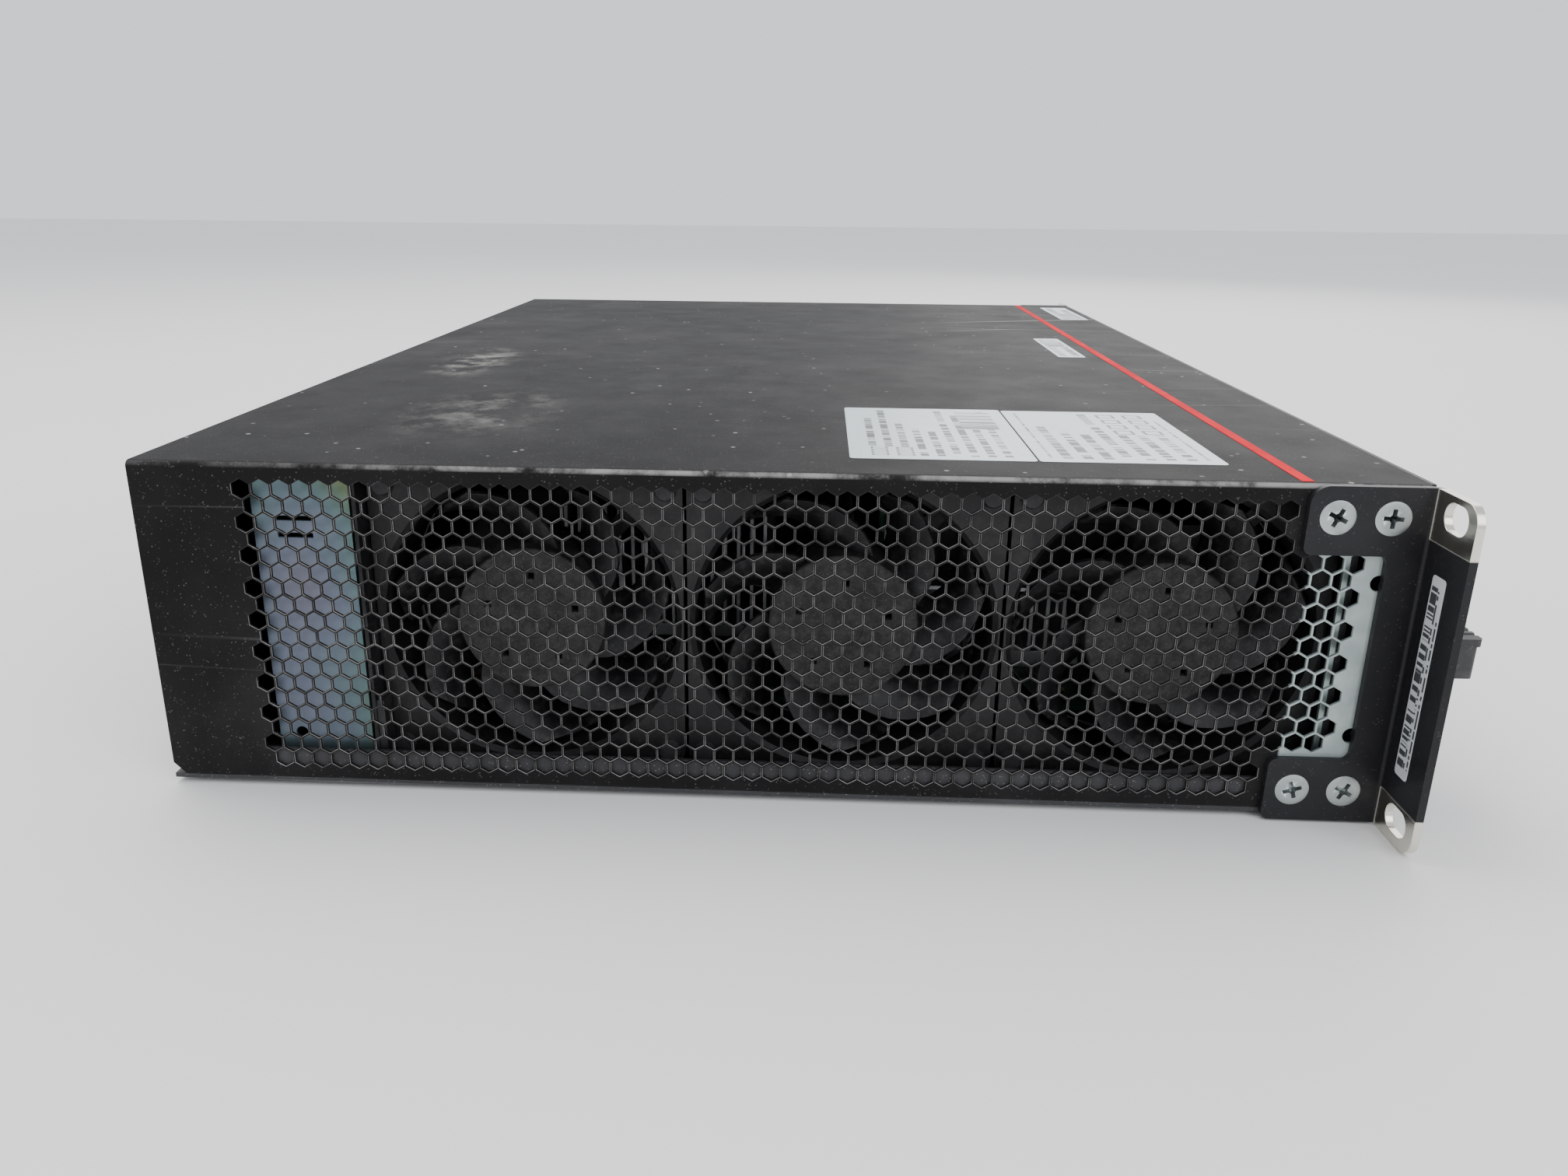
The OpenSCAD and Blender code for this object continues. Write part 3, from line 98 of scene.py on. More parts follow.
class Num:
    """A number that varies over a surface, which Python's operators combine."""

    def __init__(self, graph: "Graph", socket: bpy.types.NodeSocket) -> None:
        """Wraps a node's output socket."""
        self.graph = graph
        self.socket = socket

    def __add__(self, other: "Num | float") -> "Num":
        """Sum."""
        return self.graph.maths("ADD", self, other)

    def __radd__(self, other: float) -> "Num":
        """Sum, with the number first."""
        return self.graph.maths("ADD", other, self)

    def __sub__(self, other: "Num | float") -> "Num":
        """Difference."""
        return self.graph.maths("SUBTRACT", self, other)

    def __rsub__(self, other: float) -> "Num":
        """Difference, with the number first."""
        return self.graph.maths("SUBTRACT", other, self)

    def __mul__(self, other: "Num | float") -> "Num":
        """Product."""
        return self.graph.maths("MULTIPLY", self, other)

    def __rmul__(self, other: float) -> "Num":
        """Product, with the number first."""
        return self.graph.maths("MULTIPLY", other, self)

    def __truediv__(self, other: "Num | float") -> "Num":
        """Quotient."""
        return self.graph.maths("DIVIDE", self, other)

    def __abs__(self) -> "Num":
        """Absolute value."""
        return self.graph.maths("ABSOLUTE", self)

    def floor(self) -> "Num":
        """The whole number below."""
        return self.graph.maths("FLOOR", self)

    def fract(self) -> "Num":
        """The part after the point."""
        return self.graph.maths("FRACT", self)

    def ramp(self, start: float, end: float) -> "Num":
        """A smooth step.

        Args:
            start: The value at which the result is 0.
            end: The value at which the result is 1; it may be below start.

        Returns:
            The step, held between 0 and 1.
        """
        falls = end < start
        low, high = (end, start) if falls else (start, end)
        node = self.graph.node(
            "ShaderNodeMapRange",
            {"interpolation_type": "SMOOTHSTEP"},
            {0: self, 1: low, 2: high, 3: 1.0 if falls else 0.0, 4: 0.0 if falls else 1.0},
        )
        return Num(self.graph, node.outputs[0])

    def between(self, low: float, high: float, blur: float) -> "Num":
        """1 between two values and 0 outside them, with a blurred edge."""
        return self.ramp(low - blur, low + blur) * self.ramp(high + blur, high - blur)


class Graph:
    """One material's node tree, with a principled shader to feed."""

    def __init__(self, name: str) -> None:
        """Starts an empty tree for a material of that name."""
        self.material = bpy.data.materials.new(name)
        self.material.use_nodes = True
        self.tree = self.material.node_tree
        self.tree.nodes.clear()
        output = self.tree.nodes.new("ShaderNodeOutputMaterial")
        self.shader = self.tree.nodes.new("ShaderNodeBsdfPrincipled")
        self.tree.links.new(self.shader.outputs[0], output.inputs[0])
        coordinates = self.node("ShaderNodeTexCoord")
        self.place = coordinates.outputs["Object"]
        axes = self.node("ShaderNodeSeparateXYZ", inputs={0: self.place})
        self.x, self.y, self.z = (Num(self, socket) for socket in axes.outputs)
        facing = self.node("ShaderNodeSeparateXYZ", inputs={0: coordinates.outputs["Normal"]})
        self.facing_x = Num(self, facing.outputs[0])
        self.facing_z = Num(self, facing.outputs[2])

    def node(
        self,
        kind: str,
        settings: dict[str, object] | None = None,
        inputs: dict[str | int, object] | None = None,
    ) -> bpy.types.Node:
        """Adds any node.

        Args:
            kind: The node's type.
            settings: Its own settings, and "stops" for a colour ramp.
            inputs: A value or a link for each named or numbered socket.

        Returns:
            The new node.
        """
        node = self.tree.nodes.new(kind)
        for key, value in (settings or {}).items():
            if key == "stops":
                self.set_stops(node.color_ramp, value)
            else:
                setattr(node, key, value)
        for key, value in (inputs or {}).items():
            self.feed(node.inputs[key], value)
        return node

    @staticmethod
    def set_stops(ramp: bpy.types.ColorRamp, stops: Sequence[tuple[float, Colour]]) -> None:
        """Gives a colour ramp its stops."""
        while len(ramp.elements) > 1:
            ramp.elements.remove(ramp.elements[-1])
        ramp.elements[0].position = stops[0][0]
        ramp.elements[0].color = (*stops[0][1], 1.0)
        for position, colour in stops[1:]:
            ramp.elements.new(position).color = (*colour, 1.0)

    def feed(self, socket: bpy.types.NodeSocket, value: object) -> None:
        """Links a socket to a value of the tree, or sets its constant."""
        if isinstance(value, Num):
            self.tree.links.new(value.socket, socket)
        elif isinstance(value, bpy.types.NodeSocket):
            self.tree.links.new(value, socket)
        elif socket.type == "RGBA" and len(value) == 3:
            socket.default_value = (*value, 1.0)
        else:
            socket.default_value = value

    def maths(self, operation: str, *values: "Num | float") -> Num:
        """One Math node on up to three values."""
        node = self.node("ShaderNodeMath", {"operation": operation}, dict(enumerate(values)))
        return Num(self, node.outputs[0])

    def length(self, across: "Num | float", along: "Num | float") -> Num:
        """Distance from the origin of two coordinates."""
        return self.maths("SQRT", across * across + along * along)

    def stretched(self, scale: Point, turn: Point = (0.0, 0.0, 0.0)) -> bpy.types.NodeSocket:
        """The piece's own coordinates, turned and then scaled."""
        node = self.node(
            "ShaderNodeMapping", inputs={"Vector": self.place, "Scale": scale, "Rotation": turn}
        )
        return node.outputs[0]

    def noise(
        self,
        size: float,
        detail: float = 4.0,
        rough: float = 0.55,
        where: bpy.types.NodeSocket | None = None,
    ) -> Num:
        """Soft noise.

        Args:
            size: The size of its features, in metres, or in units of where.
            detail: How many finer layers it has.
            rough: How strong the finer layers are.
            where: The coordinates it is laid on; the piece's own if none are given.

        Returns:
            The noise, about 0.5 on average.
        """
        node = self.node(
            "ShaderNodeTexNoise",
            inputs={
                "Vector": where or self.place,
                "Scale": 1.0 / size,
                "Detail": detail,
                "Roughness": rough,
            },
        )
        return Num(self, node.outputs[0])

    def cells(
        self, size: float, feature: str = "F1", where: bpy.types.NodeSocket | None = None
    ) -> Num:
        """Distance to the nearest point of a scattered set, or to the edge between two."""
        node = self.node(
            "ShaderNodeTexVoronoi",
            {"feature": feature},
            {"Vector": where or self.place, "Scale": 1.0 / size},
        )
        return Num(self, node.outputs["Distance"])

    def chance(self, *values: "Num | float") -> Num:
        """An even random number for each set of up to three whole numbers."""
        padded = list(values) + [0.0] * (3 - len(values))
        point = self.node("ShaderNodeCombineXYZ", inputs=dict(enumerate(padded)))
        node = self.node(
            "ShaderNodeTexWhiteNoise", {"noise_dimensions": "3D"}, {"Vector": point.outputs[0]}
        )
        return Num(self, node.outputs["Value"])

    def mix(self, factor: "Num | float", low: object, high: object) -> bpy.types.NodeSocket:
        """A colour between two colours."""
        node = self.node(
            "ShaderNodeMix", {"data_type": "RGBA"}, {0: factor, 6: low, 7: high}
        )
        return node.outputs[2]

    def hue_ramp(self, factor: Num, stops: Sequence[tuple[float, Colour]]) -> bpy.types.NodeSocket:
        """A colour picked from a ramp of stops."""
        return self.node("ShaderNodeValToRGB", {"stops": stops}, {0: factor}).outputs[0]

    def bump(self, height: Num, depth: float, strength: float = 1.0) -> None:
        """Raises the surface by a height between 0 and 1, times a depth in metres."""
        node = self.node(
            "ShaderNodeBump", inputs={"Height": height, "Distance": depth, "Strength": strength}
        )
        self.feed(self.shader.inputs["Normal"], node.outputs[0])

    def scratches(self, turn: float, spacing: float, width: float) -> Num:
        """Straight hair-thin scratches that come and go, all in one direction in plan."""
        line = self.stretched((1.0, 0.04, 1.0), (0.0, 0.0, turn))
        edge = self.cells(spacing, "DISTANCE_TO_EDGE", line)
        patches = self.noise(spacing * 2.2, 2.0)
        return edge.ramp(width / spacing, 0.0) * patches.ramp(0.5, 0.62)

    def set(self, **constants: object) -> None:
        """Sets or links the shader's sockets; an underscore in a name is a space."""
        for name, value in constants.items():
            self.feed(self.shader.inputs[name.replace("_", " ")], value)


# ---------------------------------------------------------------- finishes


@dataclass(frozen=True)
class Finish:
    """A surface finish, made into a material once and then shared.

    Attributes:
        name: The material's name.
        slot: The record's material slot that it belongs to; not used.
    """

    name: str
    slot: str

    def paint(self, graph: Graph) -> None:
        """Fills the material's tree; each kind of finish has its own."""
        raise NotImplementedError

    def material(self) -> bpy.types.Material:
        """Returns the finish's material, made at first use."""
        found = bpy.data.materials.get(f"{self.name}_finish")
        if found:
            return found
        graph = Graph(f"{self.name}_finish")
        self.paint(graph)
        return graph.material


@dataclass(frozen=True)
class PowderCoat(Finish):
    """Black powder coat: fine grain, a few scratches and settled dust.

    Attributes:
        shade: The coat's own colour.
        dust: How much dust has settled on it.
        roughness: The coat's mean roughness.
    """

    shade: Colour = (0.0105, 0.0102, 0.0105)
    dust: float = 0.4
    roughness: float = 0.5

    def coat(self, graph: Graph) -> tuple[bpy.types.NodeSocket, Num]:
        """Colour and roughness of the plain coat.

        Args:
            graph: The material's tree.

        Returns:
            The colour socket and the roughness.
        """
        cloud = graph.noise(0.055, 6.0, 0.62)
        speck = graph.cells(0.0009).ramp(0.3, 0.08)
        sparse = graph.noise(0.0026, 3.0, 0.65).ramp(0.44, 0.62)
        lighter = tuple(c * 1.6 + 0.002 for c in self.shade)
        colour = graph.mix(cloud.ramp(0.35, 0.75), self.shade, lighter)
        dusty = (cloud.ramp(0.5, 0.85) * 0.06 + speck * sparse * 0.75) * self.dust
        colour = graph.mix(dusty, colour, (0.24, 0.225, 0.21))
        marks = graph.scratches(0.5, 0.07, 0.00028) + graph.scratches(-1.1, 0.09, 0.00025)
        colour = graph.mix(marks * 0.32 * self.dust, colour, (0.3, 0.3, 0.3))
        rough = self.roughness + 0.16 * graph.noise(0.02, 5.0) + 0.2 * dusty - 0.08
        grain = graph.noise(0.00042, 3.0, 0.6) * 0.75 + graph.noise(0.0016, 2.0) * 0.5
        graph.bump(grain - marks * 0.4, 0.00006, 0.55)
        return colour, rough

    def paint(self, graph: Graph) -> None:
        """Plain coat all over."""
        colour, rough = self.coat(graph)
        graph.set(Base_Color=colour, Roughness=rough, Specular_IOR_Level=0.3)


@dataclass(frozen=True)
class CoverCoat(PowderCoat):
    """The cover's coat: edge wear and painted highlight on folds and vent rims, top scuffs, bare
    zinc at the sides' front.

    Attributes:
        side_x: Distance of the cover's sides from the middle.
        top_z: Height of the cover's top.
        bare_y: Front of the coated part of the sides; the sheet is bare ahead of it.
    """

    side_x: float = 0.221
    top_z: float = 0.0876
    bare_y: float = -0.1305

    def smudge(self, graph: Graph, centre: tuple[float, float], size: tuple[float, float]) -> Num:
        """A soft oval patch on the top, broken up by noise."""
        across = (graph.x - centre[0]) / size[0]
        along = (graph.y - centre[1]) / size[1]
        broken = graph.noise(0.012, 7.0, 0.7).ramp(0.42, 0.68)
        return graph.length(across, along).ramp(1.0, 0.15) * broken

    def paint(self, graph: Graph) -> None:
        """The coat with its wear, painted highlights on its folds and vent rims, and the bare
        sheet that the ears frame.
        """
        colour, rough = self.coat(graph)
        on_top = graph.z.ramp(self.top_z - 0.0012, self.top_z - 0.0004)
        scuff = (
            self.smudge(graph, (-0.045, 0.118), (0.05, 0.018))
            + self.smudge(graph, (-0.148, 0.088), (0.055, 0.03)) * 0.45
            + self.smudge(graph, (0.04, 0.06), (0.2, 0.1)) * 0.04
            + self.smudge(graph, (-0.1, -0.02), (0.13, 0.16)) * 0.04
        ) * on_top
        colour = graph.mix(scuff * 0.75, colour, (0.34, 0.33, 0.31))
        haze = graph.noise(0.11, 5.0, 0.6).ramp(0.3, 0.8) * on_top
        colour = graph.mix(haze * 0.03, colour, (0.2, 0.175, 0.16))
        fleck = graph.cells(0.0075).ramp(0.11, 0.06) * graph.noise(0.03, 4.0, 0.6).ramp(0.42, 0.6)
        line = graph.scratches(0.25, 0.2, 0.0003) + graph.scratches(-0.7, 0.17, 0.0003)
        colour = graph.mix((fleck * 0.7 + line * 0.45) * on_top, colour, (0.36, 0.35, 0.34))
        from_side = self.side_x - abs(graph.x)
        # Lighter band along the long folds: part edge wear, part painted highlight of the bend.
        fold = (from_side + (self.top_z - graph.z)).ramp(0.0014, 0.0009)
        fold_wear_and_highlight = graph.noise(0.02, 7.0, 0.7).ramp(0.36, 0.6)
        along = graph.y.ramp(0.14, 0.06)
        colour = graph.mix(fold * fold_wear_and_highlight * (0.12 + 0.5 * along), colour, (0.42, 0.41, 0.4))
        # Painted highlight on the vent rims' bevels, stronger on bevels facing up, broken up in
        # patches like wear.
        turned = abs(graph.facing_x).between(0.3, 0.93, 0.05)
        lit = 0.25 + 0.75 * graph.facing_z.ramp(-0.6, 0.2)
        rim = turned * lit * from_side.ramp(0.0016, 0.0014) * graph.z.ramp(0.0857, 0.0855)
        wear_and_highlight_patches = 0.25 + 0.6 * graph.noise(0.008, 5.0, 0.7).ramp(0.35, 0.65)
        colour = graph.mix(rim * wear_and_highlight_patches, colour, (0.3, 0.29, 0.28))
        bare = (
            graph.y.ramp(self.bare_y + 0.0004, self.bare_y - 0.0004)
            * from_side.ramp(0.0016, 0.0014)
            * graph.z.ramp(self.top_z - 0.014, self.top_z - 0.015)
        )
        spangle = graph.noise(0.006, 4.0).ramp(0.3, 0.7)
        zinc = graph.mix(spangle, (0.36, 0.41, 0.405), (0.46, 0.51, 0.5))
        colour = graph.mix(bare, colour, zinc)
        graph.set(
            Base_Color=colour,
            Roughness=rough + scuff * 0.2,
            Metallic=bare * 0.55,
            Specular_IOR_Level=0.05,
        )


@dataclass(frozen=True)
class EarCoat(PowderCoat):
    """An ear's coat, with the flange's two ends left in bright nickel.

    Attributes:
        bend_x: Distance of the ear's bend from the middle.
        low: Height of the lower nickel end's edge.
        high: Height of the upper nickel end's edge.
    """

    bend_x: float = 0.2232
    low: float = 0.0112
    high: float = 0.0752

    def paint(self, graph: Graph) -> None:
        """Coat, with nickel at both ends of the flange."""
        colour, rough = self.coat(graph)
        lower = graph.z.ramp(self.low, self.low - 0.0005)
        upper = graph.z.ramp(self.high, self.high + 0.0005)
        bare = (lower + upper) * abs(graph.x).ramp(self.bend_x, self.bend_x + 0.0004)
        drawn = graph.noise(0.0012, 3.0, 0.6, graph.stretched((1.0, 1.0, 0.12)))
        nickel = graph.mix(drawn, (0.62, 0.58, 0.5), (0.8, 0.77, 0.7))
        graph.set(
            Base_Color=graph.mix(bare, colour, nickel),
            Roughness=rough * (1 - bare) + bare * (0.16 + 0.12 * drawn),
            Metallic=bare,
            Specular_IOR_Level=0.2,
        )


@dataclass(frozen=True)
class TrayDark(PowderCoat):
    """The tray: near-black all over, with the edge of its front lip in bare zinc.

    Attributes:
        bare_x: The lip is bare further out than this.
        edge_y: Front and back of the bare edge.
    """

    bare_x: float = -0.21642
    edge_y: tuple[float, float] = (-0.1416, -0.139)

    def paint(self, graph: Graph) -> None:
        """Near-black all over, and zinc along the lip."""
        # Near-black everywhere except the bare edge of the lip.
        colour, rough = self.coat(graph)
        along = graph.y.between(self.edge_y[0], self.edge_y[1], 0.0001)
        bare = graph.x.ramp(self.bare_x + 0.0001, self.bare_x) * along
        drawn = graph.noise(0.0015, 3.0, 0.6, graph.stretched((1.0, 1.0, 0.1)))
        zinc = graph.mix(drawn, (0.26, 0.33, 0.31), (0.44, 0.52, 0.49))
        graph.set(
            Base_Color=graph.mix(bare, colour, zinc),
            Roughness=rough * (1 - bare) + bare * (0.3 + 0.15 * drawn),
            Metallic=bare * 0.7,
            Specular_IOR_Level=0.3,
        )


@dataclass(frozen=True)
class ZincSheet(Finish):
    """Galvanised sheet: soft spangle, rolling lines and light stains.

    Attributes:
        dark: The darker colour of the spangle.
        light: The lighter colour.
        metal: How metallic it is.
    """

    dark: Colour = (0.42, 0.44, 0.45)
    light: Colour = (0.62, 0.64, 0.65)
    metal: float = 0.85

    def paint(self, graph: Graph) -> None:
        """Spangle, rolling lines and stains."""
        spangle = graph.cells(0.007)
        rolled = graph.noise(0.002, 3.0, 0.6, graph.stretched((1.0, 0.05, 1.0)))
        stain = graph.noise(0.03, 6.0, 0.65).ramp(0.5, 0.75)
        colour = graph.mix(spangle * 0.8 + rolled * 0.35 - 0.1, self.dark, self.light)
        colour = graph.mix(stain * 0.35, colour, (0.2, 0.19, 0.18))
        graph.bump(rolled, 0.00002, 0.5)
        graph.set(
            Base_Color=colour, Roughness=0.3 + 0.2 * stain + 0.12 * spangle, Metallic=self.metal
        )


@dataclass(frozen=True)
class RainbowZinc(Finish):
    """Yellow-passivated zinc: green and yellow at the edges, lilac and blue in the middle.

    Attributes:
        centre: The middle of the plate, as Y and Z.
        reach: Half the plate's length and height.
    """

    centre: tuple[float, float] = (0.115, 0.05)
    reach: tuple[float, float] = (0.0125, 0.042)

    def paint(self, graph: Graph) -> None:
        """A film colour that changes with the distance from the plate's middle."""
        drift = graph.noise(0.03, 3.0, 0.5)
        across = (graph.y - self.centre[0] - 0.004) / self.reach[0]
        up = (graph.z - self.centre[1] + 0.004) / self.reach[1]
        film = across * across * 0.2 + up * up * 0.5 + drift * 0.9 - 0.36
        colour = graph.hue_ramp(
            film,
            [
                (0.0, (0.19, 0.18, 0.23)),
                (0.22, (0.165, 0.19, 0.25)),
                (0.45, (0.13, 0.2, 0.21)),
                (0.68, (0.15, 0.21, 0.13)),
                (0.88, (0.27, 0.26, 0.11)),
                (1.0, (0.27, 0.2, 0.11)),
            ],
        )
        streak = graph.noise(0.0022, 4.0, 0.6, graph.stretched((1.0, 1.0, 0.15)))
        graph.bump(streak, 0.00002, 0.4)
        graph.set(Base_Color=colour, Roughness=0.34 + 0.16 * streak, Metallic=0.72)


@dataclass(frozen=True)
class Plated(Finish):
    """Bright plated metal with fine turned or drawn marks.

    Attributes:
        tint: The plating's colour.
        polish: Its roughness where it is cleanest.
        mark: The size of its marks.
    """

    tint: Colour = (0.74, 0.76, 0.78)
    polish: float = 0.2
    mark: float = 0.0009

    def paint(self, graph: Graph) -> None:
        """Fine marks and a faint tarnish."""
        marks = graph.noise(self.mark, 4.0, 0.65)
        tarnish = graph.noise(self.mark * 9, 4.0, 0.6).ramp(0.45, 0.75)
        duller = tuple(c * 0.62 for c in self.tint)
        graph.bump(marks, 0.00003, 0.35)
        graph.set(
            Base_Color=graph.mix(tarnish * 0.6, self.tint, duller),
            Roughness=self.polish + 0.2 * marks + 0.15 * tarnish - 0.06,
            Metallic=1.0 - 0.1 * tarnish,
        )


@dataclass(frozen=True)
class Moulded(Finish):
    """Moulded plastic or rubber with a fine texture, and dust where it gathers.

    Attributes:
        shade: Its colour.
        gloss: Its mean roughness.
        grain: The size of its moulded texture.
        dust: How much dust lies on it.
        shine: Its specular level.
    """

    shade: Colour = (0.02, 0.02, 0.021)
    gloss: float = 0.5
    grain: float = 0.0006
    dust: float = 0.0
    shine: float = 0.45

    def paint(self, graph: Graph) -> None:
        """Texture, slight colour drift and dust."""
        drift = graph.noise(0.02, 4.0)
        grain = graph.noise(self.grain, 3.0, 0.6)
        lighter = tuple(min(1.0, c * 1.45 + 0.004) for c in self.shade)
        colour = graph.mix(drift.ramp(0.3, 0.8), self.shade, lighter)
        settled = (
            graph.noise(0.009, 8.0, 0.72).ramp(0.44, 0.72) * 0.6
            + graph.noise(0.0011, 3.0).ramp(0.58, 0.75) * 0.5
        ) * self.dust
        colour = graph.mix(settled, colour, (0.3, 0.29, 0.27))
        graph.bump(grain, 0.00005, 0.5)
        graph.set(
            Base_Color=colour,
            Roughness=self.gloss + 0.14 * grain + 0.25 * settled - 0.05,
            Specular_IOR_Level=self.shine,
        )


@dataclass(frozen=True)
class RotorPlastic(Moulded):
    """A rotor's plastic: dark blades with dusty edges, and a hub grey with dust.

    Attributes:
        axis_at: The rotor's axis, as Y and Z.
        hub: Radius of the hub.
    """

    axis_at: tuple[float, float] = (0.0, 0.0)
    hub: float = 0.0195

    def paint(self, graph: Graph) -> None:
        """Dust thick on the hub's face and thin on the blades."""
        out = graph.length(graph.y - self.axis_at[0], graph.z - self.axis_at[1])
        on_hub = out.ramp(self.hub, self.hub - 0.0004)
        fluff = graph.noise(0.0035, 7.0, 0.72)
        lint = graph.noise(0.0007, 3.0, 0.6).ramp(0.55, 0.75)
        hub = graph.mix(fluff.ramp(0.35, 0.7), (0.019, 0.0185, 0.0185), (0.046, 0.0445, 0.043))
        hub = graph.mix(lint * 0.3, hub, (0.16, 0.155, 0.15))
        edge = out.ramp(0.034, 0.0372) * fluff.ramp(0.45, 0.6)
        film = fluff.ramp(0.45, 0.8) * 0.35 + edge * 0.35
        blade = graph.mix(film, self.shade, (0.13, 0.125, 0.12))
        graph.bump(fluff * on_hub + lint * 0.3, 0.0001, 0.5)
        graph.set(
            Base_Color=graph.mix(on_hub, blade, hub),
            Roughness=self.gloss + 0.35 * on_hub + 0.12 * lint,
            Specular_IOR_Level=0.35,
        )


@dataclass(frozen=True)
class BoardMask(Finish):
    """A circuit board's solder mask over its copper tracks.

    Attributes:
        pitch: The spacing of its tracks.
    """

    pitch: float = 0.0016

    def paint(self, graph: Graph) -> None:
        """Tracks along X or Y by turns, with plated holes."""
        block_x = (graph.x / 0.012).floor()
        block_y = (graph.y / 0.012).floor()
        lengthwise = graph.chance(block_x, block_y).ramp(0.49, 0.51)
        track_x = abs((graph.x / self.pitch).fract() - 0.5).ramp(0.24, 0.2)
        track_y = abs((graph.y / self.pitch).fract() - 0.5).ramp(0.24, 0.2)
        track = track_x * lengthwise + track_y * (1 - lengthwise)
        via = graph.cells(0.0045).ramp(0.1, 0.07)
        colour = graph.mix(track * 0.6, (0.008, 0.06, 0.025), (0.02, 0.13, 0.055))
        colour = graph.mix(via, colour, (0.55, 0.5, 0.38))
        graph.bump(track, 0.00003, 0.4)
        graph.set(Base_Color=colour, Roughness=0.32 + 0.1 * graph.noise(0.01), Metallic=via)


@dataclass(frozen=True)
class Clear(Finish):
    """Clear moulded plastic that carries a lamp's light.

    Attributes:
        tint: Its faint colour.
    """

    tint: Colour = (0.62, 0.85, 0.6)

    def paint(self, graph: Graph) -> None:
        """Cloudy clear plastic with fine moulding marks."""
        cloud = graph.noise(0.0015, 3.0)
        graph.bump(cloud, 0.00002, 0.4)
        graph.set(
            Base_Color=graph.mix(cloud, self.tint, (0.9, 0.95, 0.88)),
            Roughness=0.14 + 0.12 * cloud,
            Transmission_Weight=0.35,
        )


@dataclass(frozen=True)
class Film(Finish):
    """A printed film label: rows of blocked-out print, bars and plain boxes.

    Attributes:
        corner: The label's lowest X, Y and Z.
        size: Its size along its reading direction and across it.
        along: The axis that it reads along, "x" or "z" or "y".
        across: The axis across its rows.
        rows: How many rows of blocked-out print it has.
        bars: The part of its width, from 0 to 1, that bars take.
        boxes: The part of its width and height that plain boxes take.
        ground: The film's colour.
        letters: How many blocked-out letters fill its width.
        bar_count: How many bar widths fill its width.
    """

    corner: Point = (0.0, 0.0, 0.0)
    size: tuple[float, float] = (0.07, 0.045)
    along: str = "x"
    across: str = "y"
    rows: int = 8
    bars: tuple[float, float, float, float] = (0.0, 0.0, 0.0, 0.0)
    boxes: tuple[float, float, float, float] = (0.0, 0.0, 0.0, 0.0)
    ground: Colour = (0.6, 0.67, 0.69)
    letters: int = 96
    bar_count: int = 170

    def axis(self, graph: Graph, name: str, length: float) -> Num:
        """A coordinate that runs from 0 to 1 over the label."""
        index = "xyz".index(name)
        return ((graph.x, graph.y, graph.z)[index] - self.corner[index]) / length

    def paint(self, graph: Graph) -> None:
        """Print as masks on the film."""
        u = self.axis(graph, self.along, self.size[0])
        v = self.axis(graph, self.across, self.size[1])
        row = (v * self.rows).floor()
        in_row = abs((v * self.rows).fract() - 0.5).ramp(0.27, 0.22)
        letter = graph.chance((u * self.letters).floor(), row, 3.0).ramp(0.34, 0.36)
        row_end = 0.45 + 0.5 * graph.chance(row, 7.0)
        ends = (row_end - u).ramp(0.0, 0.01) * u.ramp(0.05, 0.06)
        print_mask = in_row * letter * ends * v.between(0.07, 0.93, 0.01)
        for window, kind in ((self.bars, "bars"), (self.boxes, "boxes")):
            u0, u1, v0, v1 = window
            if u1 <= u0:
                continue
            inside = u.between(u0, u1, 0.004) * v.between(v0, v1, 0.008)
            if kind == "bars":
                ink = graph.chance((u * self.bar_count).floor(), 11.0).ramp(0.44, 0.5)
            else:
                cell_u = abs(((u - u0) / (u1 - u0) * 4).fract() - 0.5)
                cell_v = abs(((v - v0) / (v1 - v0) * 2).fract() - 0.5)
                most = graph.maths("MAXIMUM", cell_u, cell_v)
                ink = most.ramp(0.22, 0.26) * most.ramp(0.36, 0.32)
            print_mask = print_mask * (1 - inside) + ink * inside
        dirt = graph.noise(0.012, 6.0, 0.7).ramp(0.5, 0.8)
        colour = graph.mix(dirt * 0.35, self.ground, tuple(c * 0.72 for c in self.ground))
        graph.bump(graph.noise(0.002, 3.0), 0.00002, 0.3)
        graph.set(
            Base_Color=graph.mix(print_mask * 0.95, colour, (0.015, 0.015, 0.02)),
            Roughness=0.3 + 0.15 * dirt,
            Metallic=0.25 * (1 - print_mask),
        )


COVER_COAT = CoverCoat("cover_coat", "cover_black", dust=0.5)
EAR_COAT = EarCoat(
    "ear_coat", "frame_black", shade=(0.01, 0.01, 0.0115), dust=0.25, roughness=0.36
)
FRAME_COAT = PowderCoat("frame_coat", "frame_black", shade=(0.016, 0.016, 0.018), dust=0.25)
FLOOR_COAT = PowderCoat(
    "floor_coat", "frame_black", shade=(0.03, 0.03, 0.032), dust=1.0, roughness=0.55
)
BARE_ZINC = ZincSheet("bare_zinc", "bare_zinc")
TRAY_DARK = TrayDark("tray_dark", "bare_zinc", shade=(0.012, 0.012, 0.013), dust=0.3)
PSU_ZINC = ZincSheet("psu_zinc", "psu_steel", dark=(0.36, 0.37, 0.39), light=(0.5, 0.52, 0.54))
YELLOW_ZINC = RainbowZinc("yellow_zinc", "yellow_zinc")
SCREW_ZINC = Plated("screw_zinc", "screw_zinc", tint=(0.42, 0.45, 0.45), polish=0.36)
JACK_STEEL = Plated("jack_steel", "jack_steel", tint=(0.6, 0.62, 0.64), polish=0.28, mark=0.0015)
GOLD_PLATE = Plated("gold_plate", "brass", tint=(0.9, 0.66, 0.28), polish=0.16, mark=0.0006)
BRASS = Plated("brass", "brass", tint=(0.72, 0.52, 0.22), polish=0.28)
SINK_METAL = Plated(
    "sink_aluminium", "sink_aluminium", tint=(0.7, 0.72, 0.73), polish=0.34, mark=0.003
)
